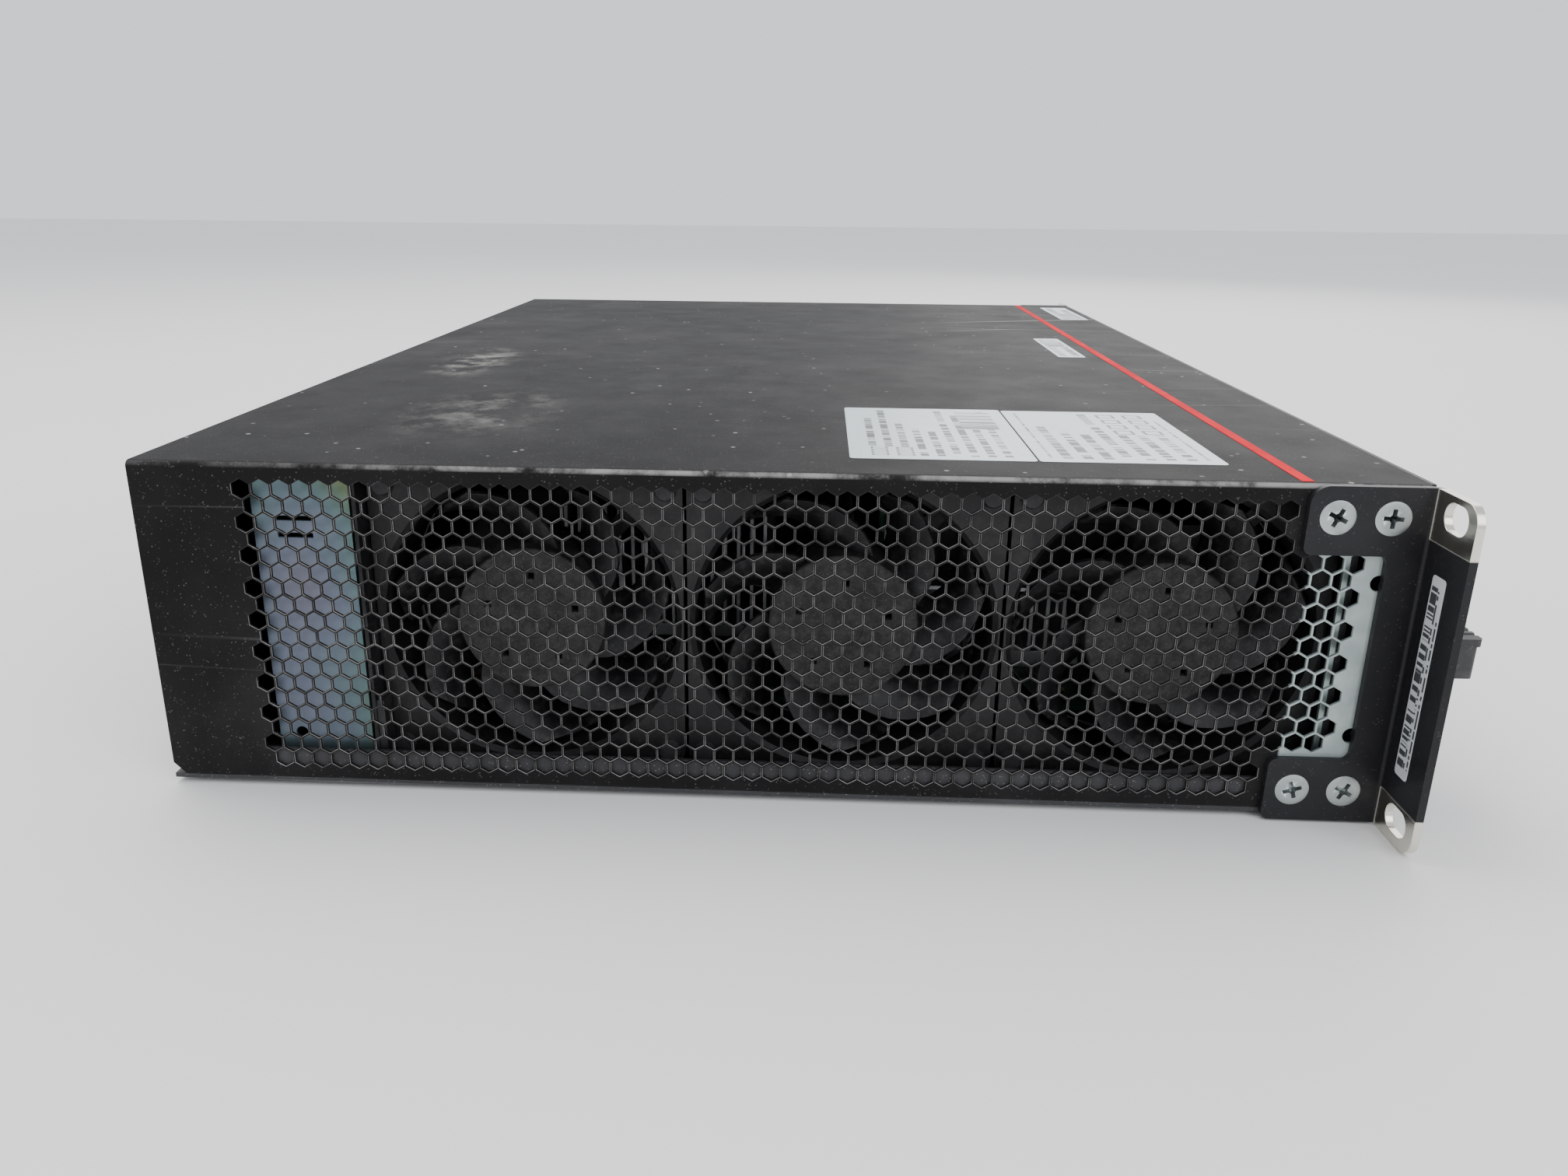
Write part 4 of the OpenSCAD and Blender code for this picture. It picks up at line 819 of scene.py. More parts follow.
FAN_PLASTIC = Moulded("fan_black", "fan_black", shade=(0.0035, 0.0035, 0.004), gloss=0.5, dust=0.1)
HANDLE_PLASTIC = Moulded(
    "handle_black", "handle_black", shade=(0.022, 0.022, 0.023), gloss=0.55, dust=0.25
)
RUBBER = Moulded("foot_rubber", "foot_rubber", shade=(0.012, 0.012, 0.012), gloss=0.7, dust=0.2)
PART_PLASTIC = Moulded(
    "part_black", "part_black", shade=(0.018, 0.018, 0.02), gloss=0.5, dust=0.15
)
INLET_PLASTIC = Moulded("inlet_black", "inlet_black", shade=(0.012, 0.012, 0.012), gloss=0.4)
IVORY_PLASTIC = Moulded("socket_ivory", "socket_ivory", shade=(0.62, 0.58, 0.48), gloss=0.4)
LATCH_PLASTIC = Moulded("latch_red", "latch_red", shade=(0.42, 0.03, 0.02), gloss=0.34)
STRIPE_FILM = Moulded(
    "stripe_red", "cover_black", shade=(0.52, 0.004, 0.014), gloss=0.7, grain=0.0015, shine=0.08
)
BOARD_GREEN = BoardMask("board_green", "board_green")
LIGHT_PIPE = Clear("light_pipe", "light_pipe")

PLAIN_FINISHES: dict[str, Finish] = {
    "cover_black": COVER_COAT,
    "frame_black": FRAME_COAT,
    "bare_zinc": BARE_ZINC,
    "yellow_zinc": YELLOW_ZINC,
    "screw_zinc": SCREW_ZINC,
    "foot_rubber": RUBBER,
    "brass": BRASS,
    "fan_black": FAN_PLASTIC,
    "board_green": BOARD_GREEN,
    "socket_ivory": IVORY_PLASTIC,
    "jack_steel": JACK_STEEL,
    "psu_steel": PSU_ZINC,
    "handle_black": HANDLE_PLASTIC,
    "latch_red": LATCH_PLASTIC,
    "inlet_black": INLET_PLASTIC,
    "sink_aluminium": SINK_METAL,
    "light_pipe": LIGHT_PIPE,
    "part_black": PART_PLASTIC,
}


# ---------------------------------------------------------------- modelling bench


class Bench:
    """The steps that every piece is modelled with, each a short run of operators."""

    @staticmethod
    def clear() -> None:
        """Leaves edit mode and deselects everything."""
        if bpy.context.object and bpy.context.object.mode != "OBJECT":
            bpy.ops.object.mode_set(mode="OBJECT")
        bpy.ops.object.select_all(action="DESELECT")

    @staticmethod
    def take(*pieces: bpy.types.Object) -> bpy.types.Object:
        """Selects only these pieces and makes the first one active."""
        Bench.clear()
        for piece in pieces:
            piece.select_set(True)
        bpy.context.view_layer.objects.active = pieces[0]
        return pieces[0]

    @staticmethod
    def name(name: str) -> bpy.types.Object:
        """Names the active object and its mesh."""
        piece = bpy.context.object
        piece.name = name
        piece.data.name = name
        return piece

    @staticmethod
    def settle(piece: bpy.types.Object) -> bpy.types.Object:
        """Moves a piece's place, turn and scale into its mesh."""
        Bench.take(piece)
        bpy.ops.object.transform_apply(location=True, rotation=True, scale=True)
        return piece

    @staticmethod
    def pick(
        piece: bpy.types.Object, kind: Element, test: Callable[[Vector, Vector], bool]
    ) -> None:
        """Opens edit mode with the elements that pass a test selected.

        Args:
            piece: The piece to edit.
            kind: Whether faces, edges or vertices are picked.
            test: For a face it takes the centre and the normal; for an edge its two ends; for
                a vertex its place and its normal.
        """
        Bench.take(piece)
        bpy.ops.object.mode_set(mode="EDIT")
        bpy.ops.mesh.select_mode(type=kind.value)
        bpy.ops.mesh.select_all(action="DESELECT")
        bpy.ops.object.mode_set(mode="OBJECT")
        mesh = piece.data
        if kind is Element.FACE:
            for polygon in mesh.polygons:
                polygon.select = test(polygon.center, polygon.normal)
        elif kind is Element.EDGE:
            for edge in mesh.edges:
                ends = (mesh.vertices[i].co for i in edge.vertices)
                edge.select = test(*ends)
        else:
            for vertex in mesh.vertices:
                vertex.select = test(vertex.co, vertex.normal)
        bpy.ops.object.mode_set(mode="EDIT")

    @staticmethod
    def modify(piece: bpy.types.Object, kind: str, **settings: object) -> bpy.types.Object:
        """Adds a modifier with its settings and applies it."""
        Bench.take(piece)
        modifier = piece.modifiers.new(kind.lower(), kind)
        for key, value in settings.items():
            setattr(modifier, key, value)
        bpy.ops.object.modifier_apply(modifier=modifier.name)
        return piece

    @staticmethod
    def cut(piece: bpy.types.Object, tool: bpy.types.Object, how: str = "DIFFERENCE") -> None:
        """Cuts a tool's shape out of a piece, or joins it, and throws the tool away."""
        Bench.modify(piece, "BOOLEAN", object=tool, operation=how, solver="EXACT")
        bpy.data.objects.remove(tool)

    @staticmethod
    def block(name: str, low: Iterable[float], high: Iterable[float]) -> bpy.types.Object:
        """A box between two corners."""
        low, high = Vector(low), Vector(high)
        Bench.clear()
        bpy.ops.mesh.primitive_cube_add(size=1.0, location=(low + high) / 2)
        bpy.context.object.scale = high - low
        return Bench.settle(Bench.name(name))

    @staticmethod
    def rod(
        name: str,
        start: Iterable[float],
        end: Iterable[float],
        radius: float,
        sides: int = 32,
        tip: float | None = None,
    ) -> bpy.types.Object:
        """A cylinder between two points, or a cone if its tip has a radius of its own."""
        start, end = Vector(start), Vector(end)
        way = end - start
        turn = way.to_track_quat("Z", "Y").to_euler()
        Bench.clear()
        bpy.ops.mesh.primitive_cone_add(
            vertices=sides,
            radius1=radius,
            radius2=radius if tip is None else tip,
            depth=way.length,
            location=(start + end) / 2,
            rotation=turn,
        )
        return Bench.settle(Bench.name(name))

    @staticmethod
    def join(name: str, *pieces: bpy.types.Object) -> bpy.types.Object:
        """Joins pieces into one object."""
        Bench.take(*pieces)
        if len(pieces) > 1:
            bpy.ops.object.join()
        return Bench.name(name)

    @staticmethod
    def copy(
        piece: bpy.types.Object, name: str, shift: Point = (0.0, 0.0, 0.0)
    ) -> bpy.types.Object:
        """A copy with its own mesh, moved."""
        twin = bpy.data.objects.new(name, piece.data.copy())
        bpy.context.scene.collection.objects.link(twin)
        twin.data.name = name
        twin.data.transform(Matrix.Translation(shift))
        return twin

    @staticmethod
    def close(piece: bpy.types.Object, reach: float = 1e-6) -> bpy.types.Object:
        """Merges doubled vertices and turns every face outwards."""
        Bench.pick(piece, Element.VERTEX, lambda place, normal: True)
        bpy.ops.mesh.select_all(action="SELECT")
        bpy.ops.mesh.remove_doubles(threshold=reach)
        bpy.ops.mesh.normals_make_consistent(inside=False)
        Bench.clear()
        return piece

    @staticmethod
    def soften(
        piece: bpy.types.Object, width: float, segments: int = 2, sharp: float = 40.0
    ) -> bpy.types.Object:
        """Rounds a piece's edges and smooths what is left.

        Args:
            piece: The piece.
            width: The rounding's width; none if it is 0.
            segments: How many steps the rounding has.
            sharp: Edges that turn by more than this many degrees are rounded.

        Returns:
            The piece.
        """
        if width > 0:
            Bench.modify(
                piece,
                "BEVEL",
                width=width,
                segments=segments,
                limit_method="ANGLE",
                angle_limit=math.radians(sharp),
                use_clamp_overlap=True,
            )
        Bench.take(piece)
        bpy.ops.object.shade_smooth_by_angle(angle=math.radians(38.0))
        Bench.modify(piece, "WEIGHTED_NORMAL", keep_sharp=True)
        return piece

    @staticmethod
    def from_node(node: str, name: str) -> bpy.types.Object:
        """A clean copy of a frame node's shape, with its flat faces whole again."""
        piece = bpy.data.objects.new(name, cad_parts[node].data.copy())
        bpy.context.scene.collection.objects.link(piece)
        piece.data.materials.clear()
        Bench.close(piece)
        Bench.pick(piece, Element.FACE, lambda centre, normal: True)
        bpy.ops.mesh.select_all(action="SELECT")
        bpy.ops.mesh.dissolve_limited(angle_limit=math.radians(0.4))
        Bench.clear()
        return piece


def fit(
    piece: bpy.types.Object, body: Body, finish: Finish, replaced: Sequence[str] = ()
) -> bpy.types.Object:
    """Puts a finished piece into the scene.

    Args:
        piece: The finished piece.
        body: The body that it moves with.
        finish: Its finish.
        replaced: The frame's nodes that it stands for.

    Returns:
        The piece.
    """
    piece.data.materials.clear()
    piece.data.materials.append(finish.material())
    Bench.clear()
    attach(piece, body.value)
    if replaced:
        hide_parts(*replaced)
    log.info("%-22s %6d faces, rides on %s", piece.name, len(piece.data.polygons), body.value)
    return piece


def soft_node(
    node: str, body: Body, finish: Finish, width: float = 0.25 * MM, segments: int = 2
) -> bpy.types.Object:
    """A frame node's shape with rounded edges, standing for that node."""
    piece = Bench.from_node(node, f"{node}_piece")
    Bench.soften(piece, width, segments)
    return fit(piece, body, finish, (node,))


# ---------------------------------------------------------------- cover


@dataclass
class Cover:
    """The cover: one sheet with hexagonal vents in both sides, folded over the top.

    Attributes:
        sheet: Thickness of the sheet.
        fold: Outer radius of the long folds.
        fold_steps: Steps in each fold.
        pitch: Distance between neighbouring hexagons.
        flats: Width of a hexagon across its flats.
        rim: Rounding of every edge.
        lip: Height of the rear lip.
        chamfer: Size of the cut at the sides' lower rear corners.
        margin: Distance from the vent's first row to the field's top.
        window_holes: Heights of the two round holes near the sides' front.
        window_hole: Radius of these holes.
        window_in: Their distance from the sides' front.
        low: The cover's lowest corner.
        high: The cover's highest corner.
    """

    sheet: float = 1.0 * MM
    fold: float = 1.6 * MM
    fold_steps: int = 5
    pitch: float = 4.94 * MM
    flats: float = 4.4 * MM
    rim: float = 0.13 * MM
    lip: float = 9.0 * MM
    chamfer: float = 3.0 * MM
    margin: float = 3.2 * MM
    window_holes: tuple[float, float] = (23.5 * MM, 63.5 * MM)
    window_hole: float = 2.0 * MM
    window_in: float = 8.6 * MM
    low: Vector = field(init=False)
    high: Vector = field(init=False)

    def __post_init__(self) -> None:
        """Takes the cover's corners from the frame."""
        self.low, self.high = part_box("top_cover")

    @property
    def row_height(self) -> float:
        """Height from one row of hexagons to the next."""
        return self.pitch * math.sin(math.radians(60))

    def vent(self, side: Side) -> bpy.types.Object:
        """The perforated field of one side, as a sheet without thickness.

        Args:
            side: The side it is in.

        Returns:
            The field, its cells merged.
        """
        low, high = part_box(f"{side.name.lower()}_vent_field")
        rear = high.y - self.flats
        top = high.z - self.margin
        rows = 1 + round((high.z - low.z - 2 * self.margin) / self.row_height)
        columns = 1 + math.floor((rear - low.y - 0.5 * MM - self.flats / 2) / self.pitch)
        Bench.clear()
        bpy.ops.mesh.primitive_circle_add(
            vertices=6,
            radius=self.pitch / math.sqrt(3),
            fill_type="NGON",
            location=(side.value * self.high.x, rear, top),
            rotation=(math.radians(90), 0.0, math.radians(90 * side.value)),
        )
        cell = Bench.settle(Bench.name(f"{side.name.lower()}_vent"))
        Bench.pick(cell, Element.FACE, lambda centre, normal: True)
        bpy.ops.mesh.inset(thickness=(self.pitch - self.flats) / 2)
        bpy.ops.mesh.delete(type="FACE")
        step = (0.0, -self.pitch, 0.0)
        self.repeat(cell, columns, step)
        self.repeat(cell, 2, (0.0, -self.pitch / 2, -self.row_height))
        self.repeat(cell, math.ceil(rows / 2), (0.0, 0.0, -2 * self.row_height))
        self.drop_covered(cell, rows, columns, rear, top, low.y + 0.5 * MM)
        return Bench.close(cell, 2e-5)

    @staticmethod
    def repeat(piece: bpy.types.Object, count: int, step: Point) -> None:
        """Repeats a piece along a step."""
        Bench.modify(
            piece,
            "ARRAY",
            count=count,
            use_relative_offset=False,
            use_constant_offset=True,
            constant_offset_displace=step,
        )

    def drop_covered(
        self,
        field_mesh: bpy.types.Object,
        rows: int,
        columns: int,
        rear: float,
        top: float,
        front: float,
    ) -> None:
        """Deletes the cells that an ear's tabs would cover, and those past the field's end.

        Args:
            field_mesh: The field, six faces to a cell, in the order that it was repeated in.
            rows: How many rows the field has.
            columns: How many cells each row was given.
            rear: Y of the first cell's centre.
            top: Z of the first row.
            front: Y that no hexagon may pass.
        """
        ear_low, ear_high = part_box("left_ear")
        tab_high = ear_high.z - 16.8 * MM
        tab_low = ear_low.z + 16.9 * MM

        def kept(index: int) -> bool:
            """Whether a cell is part of the vent."""
            row, column = divmod(index, columns)
            y = rear - column * self.pitch - (row % 2) * self.pitch / 2
            z = top - row * self.row_height
            point = self.flats * 0.58
            beside = y - self.flats / 2 < ear_high.y + 0.5 * MM
            covered = beside and (z + point > tab_high or z - point < tab_low)
            return row < rows and not covered and y - self.flats / 2 >= front - 1e-6

        Bench.take(field_mesh)
        bpy.ops.object.mode_set(mode="EDIT")
        bpy.ops.mesh.select_mode(type="FACE")
        bpy.ops.mesh.select_all(action="DESELECT")
        bpy.ops.object.mode_set(mode="OBJECT")
        for polygon in field_mesh.data.polygons:
            polygon.select = not kept(polygon.index // 6)
        bpy.ops.object.mode_set(mode="EDIT")
        bpy.ops.mesh.delete(type="FACE")
        Bench.clear()

    def side_sheet(self, side: Side) -> bpy.types.Object:
        """One side of the cover: its outline filled round the vent."""
        x = side.value * self.high.x
        top = self.high.z - self.fold
        corners = [
            (self.low.y, self.low.z),
            (self.high.y - self.chamfer, self.low.z),
            (self.high.y, self.low.z + self.chamfer),
            (self.high.y, top),
            (self.low.y, top),
        ]
        outline = self.loop("outline", [(x, y, z) for y, z in corners])
        holes = []
        for height in self.window_holes:
            Bench.clear()
            bpy.ops.mesh.primitive_circle_add(
                vertices=20,
                radius=self.window_hole,
                location=(x, self.low.y + self.window_in, height),
                rotation=(0.0, math.radians(90), 0.0),
            )
            holes.append(Bench.settle(Bench.name("hole")))
        sheet = Bench.join(f"{side.name.lower()}_side", self.vent(side), outline, *holes)
        uses: dict[tuple[int, int], int] = {}
        for polygon in sheet.data.polygons:
            for key in polygon.edge_keys:
                uses[key] = uses.get(key, 0) + 1
        hexagon = self.flats / math.sqrt(3)

        def open_edge(index: int) -> bool:
            """Whether an edge bounds the plain part of the sheet."""
            edge = sheet.data.edges[index]
            ends = [sheet.data.vertices[i].co for i in edge.vertices]
            count = uses.get(edge.key, 0)
            rim_edge = abs((ends[0] - ends[1]).length - hexagon) < 0.02 * MM
            return count == 0 or (count == 1 and not rim_edge)

        bounding = [open_edge(i) for i in range(len(sheet.data.edges))]
        Bench.pick(sheet, Element.EDGE, lambda a, b: False)
        bpy.ops.object.mode_set(mode="OBJECT")
        for edge, chosen in zip(sheet.data.edges, bounding):
            edge.select = chosen
        bpy.ops.object.mode_set(mode="EDIT")
        bpy.ops.mesh.fill(use_beauty=True)
        Bench.clear()
        return sheet

    @staticmethod
    def loop(name: str, points: Sequence[Point]) -> bpy.types.Object:
        """A closed loop of edges through points."""
        mesh = bpy.data.meshes.new(name)
        count = len(points)
        mesh.from_pydata(points, [(i, (i + 1) % count) for i in range(count)], [])
        piece = bpy.data.objects.new(name, mesh)
        bpy.context.scene.collection.objects.link(piece)
        return piece

    def fold_over(self, shell: bpy.types.Object) -> None:
        """Extrudes the left side's top edge over the top and down to the right side."""
        top = self.high.z - self.fold
        reach = self.high.x - self.fold

        def left_top(a: Vector, b: Vector) -> bool:
            """Whether an edge is the left side's top edge."""
            return a.x < 0 and b.x < 0 and min(a.z, b.z) > top - 1e-6 and (a - b).length > 0.1

        Bench.pick(shell, Element.EDGE, left_top)
        lip_low, lip_high = -self.high.x + self.sheet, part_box("psu_cage")[0].x
        angles = [math.radians(90 * n / self.fold_steps) for n in range(self.fold_steps + 1)]
        rise = [(-math.cos(a) * self.fold, math.sin(a) * self.fold) for a in angles]
        path = [(-reach + x, top + z) for x, z in rise]
        path += [(lip_low + self.fold, self.high.z), (lip_high, self.high.z)]
        path += [(-x, z) for x, z in reversed(path[: self.fold_steps + 1])]
        for here, there in zip(path, path[1:]):
            step = (there[0] - here[0], 0.0, there[1] - here[1])
            bpy.ops.mesh.extrude_edges_move(TRANSFORM_OT_translate={"value": step})
        Bench.clear()

        def lip_edge(a: Vector, b: Vector) -> bool:
            """Whether an edge carries the rear lip."""
            at_rear = min(a.y, b.y) > self.high.y - 1e-6
            return at_rear and abs((a - b).length - (lip_high - lip_low - self.fold)) < 1e-5

        Bench.pick(shell, Element.EDGE, lip_edge)
        bpy.ops.mesh.extrude_edges_move(TRANSFORM_OT_translate={"value": (0.0, 0.0, -self.lip)})
        Bench.clear()

    def build(self) -> None:
        """Models the cover and fits it in place of its three nodes."""
        shell = Bench.join("cover_shell", self.side_sheet(Side.LEFT), self.side_sheet(Side.RIGHT))
        self.fold_over(shell)
        Bench.close(shell, 2e-5)
        self.face_out(shell)
        Bench.modify(
            shell,
            "SOLIDIFY",
            thickness=self.sheet,
            offset=-1.0,
            use_even_offset=True,
            use_quality_normals=True,
        )
        Bench.modify(
            shell,
            "BEVEL",
            width=self.rim,
            segments=1,
            limit_method="ANGLE",
            angle_limit=math.radians(70),
            use_clamp_overlap=False,
        )
        Bench.soften(shell, 0.0)
        fit(shell, Body.CHASSIS, COVER_COAT, ("top_cover", "left_vent_field", "right_vent_field"))

    @staticmethod
    def face_out(shell: bpy.types.Object) -> None:
        """Turns an open shell over if its top faces down."""
        top = max(shell.data.polygons, key=lambda polygon: polygon.center.z)
        if top.normal.z < 0:
            Bench.pick(shell, Element.FACE, lambda centre, normal: True)
            bpy.ops.mesh.select_all(action="SELECT")
            bpy.ops.mesh.flip_normals()
            Bench.clear()


# ---------------------------------------------------------------- fans


@dataclass
class Fans:
    """The three axial fans: one frame each, and the rotor that turns inside it.

    Attributes:
        corner: Rounding of a frame's corners.
        flange: Thickness of a frame's two square flanges.
        wall: Wall of the duct between them.
        inlet: Width of the chamfer round a duct's mouth.
        hole_span: Distance between a frame's screw holes.
        screw_hole: Radius of a screw hole.
        hub: Radius of a rotor's hub.
        hub_depth: Length of a hub.
        blades: How many blades a rotor has.
        blade_wall: Thickness of a blade.
        vent_ring: Distance of the hub's five holes from its middle.
        sweep: How far a blade's tip runs ahead of its root, in degrees.
        steps: Steps from a blade's root to its tip.
        chord: Width of a blade's root.
        chord_steps: Steps across a blade.
        camber: Rise of a blade's middle above its chord.
        pitch_angle: Angle between a blade's chord and the axis.
        blade_reach: Radius of the middle of a blade's tip.
        bore: Radius of a duct.
        plate: Thickness of the motor's plate.
        arm_turns: Where the plate's arms point, in degrees.
        hub_vents: How many small holes a hub has.
        low: The frames' lowest corner.
        high: The frames' highest corner.
    """

    corner: float = 4.0 * MM
    flange: float = 3.5 * MM
    wall: float = 1.6 * MM
    inlet: float = 1.3 * MM
    hole_span: float = 71.5 * MM
    screw_hole: float = 2.1 * MM
    hub: float = 19.35 * MM
    hub_depth: float = 17.5 * MM
    blades: int = 7
    blade_wall: float = 1.3 * MM
    vent_ring: float = 12.0 * MM
    sweep: float = 40.0
    steps: int = 7
    chord: float = 19.0 * MM
    chord_steps: int = 6
    camber: float = 2.4 * MM
    pitch_angle: float = math.radians(50)
    blade_reach: float = 36.0 * MM
    bore: float = 38.2 * MM
    plate: float = 4.0 * MM
    arm_turns: tuple[float, ...] = (45, 165, 285)
    hub_vents: int = 5
    low: Vector = field(init=False)
    high: Vector = field(init=False)

    def __post_init__(self) -> None:
        """Takes the frames' corners from the frame."""
        self.low, self.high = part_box("fan_frames")

    def square(self, name: str, middle: Point, start: float, end: float) -> bpy.types.Object:
        """A square plate with round corners, across the fan's axis."""
        half = (self.high.z - self.low.z) / 2
        plate = Bench.block(
            name,
            (start, middle[1] - half, middle[2] - half),
            (end, middle[1] + half, middle[2] + half),
        )
        Bench.pick(
            plate,
            Element.EDGE,
            lambda a, b: abs(a.x - b.x) > abs(end - start) / 2,
        )
        bpy.ops.mesh.bevel(offset=self.corner, segments=6)
        Bench.clear()
        return plate

    def frame_of(self, name: str, centre: Vector, bore: float) -> bpy.types.Object:
        """One fan's frame: two flanges, the duct between them and the motor's plate.

        Args:
            name: The name of the piece.
            centre: A point on the fan's axis.
            bore: Radius of the duct.

        Returns:
            The frame.
        """
        near, far = self.low.x, self.high.x
        middle = (0.0, centre.y, centre.z)

        def along(x: float) -> Point:
            """A point on the fan's axis."""
            return (x, centre.y, centre.z)

        body = self.square(name, middle, near, near + self.flange)
        back = self.square("back", middle, far - self.flange, far)
        inset = 0.2 * MM
        duct = Bench.rod("duct", along(near + inset), along(far - inset), bore + self.wall, 96)
        Bench.cut(body, back, "UNION")
        Bench.cut(body, duct, "UNION")
        Bench.cut(body, Bench.rod("bore", along(near - MM), along(far + MM), bore, 96))
        mouth = Bench.rod(
            "mouth", along(near - 0.01 * MM), along(near + self.inlet), bore + self.inlet, 96, bore
        )
        Bench.cut(body, mouth)
        offset = self.hole_span / 2
        for side_y in (-1, 1):
            for side_z in (-1, 1):
                y, z = centre.y + side_y * offset, centre.z + side_z * offset
                start, end = (near - MM, y, z), (far + MM, y, z)
                Bench.cut(body, Bench.rod("hole", start, end, self.screw_hole, 20))
        behind = far - inset
        plate = Bench.rod("plate", along(behind - self.plate), along(behind), self.hub, 64)
        Bench.cut(body, plate, "UNION")
        for turn in self.arm_turns:
            arm = Bench.block(
                "arm",
                (far - 3.4 * MM, -2.2 * MM, self.hub - MM),
                (far - 0.4 * MM, 2.2 * MM, bore + MM),
            )
            arm.data.transform(Matrix.Rotation(math.radians(turn), 4, "X"))
            arm.data.transform(Matrix.Translation((0.0, centre.y, centre.z)))
            Bench.cut(body, arm, "UNION")
        return Bench.soften(body, 0.35 * MM, 2)

    def blade(self, front: float, reach: float) -> bpy.types.Object:
        """One blade above the X axis: a cambered strip drawn out from the hub and swept.

        Args:
            front: X of the hub's front.
            reach: Radius of the middle of the blade's tip.

        Returns:
            The blade, without thickness.
        """
        root = self.hub - 0.7 * MM
        centre = Vector((front + self.hub_depth / 2 + 0.3 * MM, 0.0, root))
        Bench.clear()
        bpy.ops.mesh.primitive_grid_add(
            x_subdivisions=self.chord_steps,
            y_subdivisions=1,
            size=1.0,
            location=centre,
            rotation=(math.radians(90), 0.0, self.pitch_angle),
        )
        bpy.context.object.scale = (self.chord, 0.4 * MM, 1.0)
        strip = Bench.settle(Bench.name("blade"))
        along = Vector((math.cos(self.pitch_angle), math.sin(self.pitch_angle), 0.0))
        across = Vector((-along.y, along.x, 0.0))
        for column in range(1, self.chord_steps):
            place = (column / self.chord_steps - 0.5) * self.chord
            lift = self.camber * (1 - (2 * place / self.chord) ** 2)
            Bench.pick(
                strip,
                Element.VERTEX,
                lambda co, normal: abs((co - centre).dot(along) - place) < 0.2 * MM,
            )
            bpy.ops.transform.translate(value=across * lift)
        Bench.pick(strip, Element.VERTEX, lambda co, normal: co.z > root)
        step = (reach - root) / self.steps
        for number in range(self.steps):
            outward = self.selected_middle(strip)
            outward.x = 0.0
            bpy.ops.mesh.extrude_edges_move(
                TRANSFORM_OT_translate={"value": outward.normalized() * step}
            )
            bpy.ops.transform.rotate(
                value=math.radians(self.sweep) / self.steps * (0.4 + 1.2 * number / self.steps),
                orient_axis="X",
                center_override=(0.0, 0.0, 0.0),
            )
            bpy.ops.transform.resize(
                value=(1.015, 1.015, 1.015), center_override=self.selected_middle(strip)
            )
        Bench.clear()
        return strip

    @staticmethod
    def selected_middle(piece: bpy.types.Object) -> Vector:
        """The mean place of the vertices that are selected in edit mode."""
        bpy.ops.object.mode_set(mode="OBJECT")
        chosen = [vertex.co.copy() for vertex in piece.data.vertices if vertex.select]
        bpy.ops.object.mode_set(mode="EDIT")
        return sum(chosen, Vector()) / len(chosen)

    def rotor_of(self, name: str, centre: Vector, front: float) -> bpy.types.Object:
        """One rotor: a flat hub with five small holes, and its blades.

        Args:
            name: The name of the piece.
            centre: A point on the fan's axis.
            front: X of the hub's front.

        Returns:
            The rotor.
        """
        hub = Bench.rod("hub", (front, 0.0, 0.0), (front + self.hub_depth, 0.0, 0.0), self.hub, 64)
        Bench.pick(
            hub,
            Element.EDGE,
            lambda a, b: max(a.x, b.x) < front + 0.1 * MM and (a.zxy - b.zxy).length < 3 * MM,
        )
        bpy.ops.mesh.bevel(offset=0.9 * MM, segments=3)
        Bench.clear()
        for number in range(self.hub_vents):
            angle = math.radians(360 / self.hub_vents * number + 20)
            y, z = self.vent_ring * math.cos(angle), self.vent_ring * math.sin(angle)
            drill = Bench.block(
                "drill",
                (front - MM, y - 0.9 * MM, z - 0.9 * MM),
                (front + 4 * MM, y + 0.9 * MM, z + 0.9 * MM),
            )
            Bench.cut(hub, drill)
        ring = Bench.rod("ring", (front - MM, 0, 0), (front + 0.25 * MM, 0, 0), 5.2 * MM, 40)
        Bench.cut(hub, ring)
        first = self.blade(front, self.blade_reach)
        Bench.modify(first, "SOLIDIFY", thickness=self.blade_wall, offset=0.0)
        Bench.modify(
            first, "BEVEL", width=0.45 * MM, segments=2, limit_method="ANGLE",
            angle_limit=math.radians(60),
        )
        fan = [hub]
        for number in range(self.blades):
            copy = Bench.copy(first, "blade")
            copy.data.transform(Matrix.Rotation(math.tau * number / self.blades, 4, "X"))
            fan.append(copy)
        bpy.data.objects.remove(first)
        rotor = Bench.join(name, *fan)
        rotor.data.transform(Matrix.Translation((0.0, centre.y, centre.z)))
        return Bench.soften(rotor, 0.0)

    def build(self) -> None:
        """Models the frames and rotors and fits them."""
        frames, bodies = [], (Body.REAR_FAN, Body.MIDDLE_FAN, Body.FRONT_FAN)
        for body in bodies:
            low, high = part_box(f"{body.value}_rotor")
            centre = (low + high) / 2
            centre.z = (self.low.z + self.high.z) / 2
            centre.y = round((low.y + high.y) / 2, 4)
            frames.append(self.frame_of("duct_frame", centre, self.bore))
            rotor = self.rotor_of(f"{body.value}_blades", centre, low.x)
            finish = RotorPlastic(
                f"{body.value}_plastic",
                "fan_black",
                shade=(0.009, 0.009, 0.01),
                gloss=0.42,
                axis_at=(centre.y, centre.z),
            )
            fit(rotor, body, finish, (f"{body.value}_rotor",))
        joined = Bench.join("fan_ducts", *frames)
        fit(joined, Body.TRAY, FAN_PLASTIC, ("fan_frames",))


# ---------------------------------------------------------------- fasteners


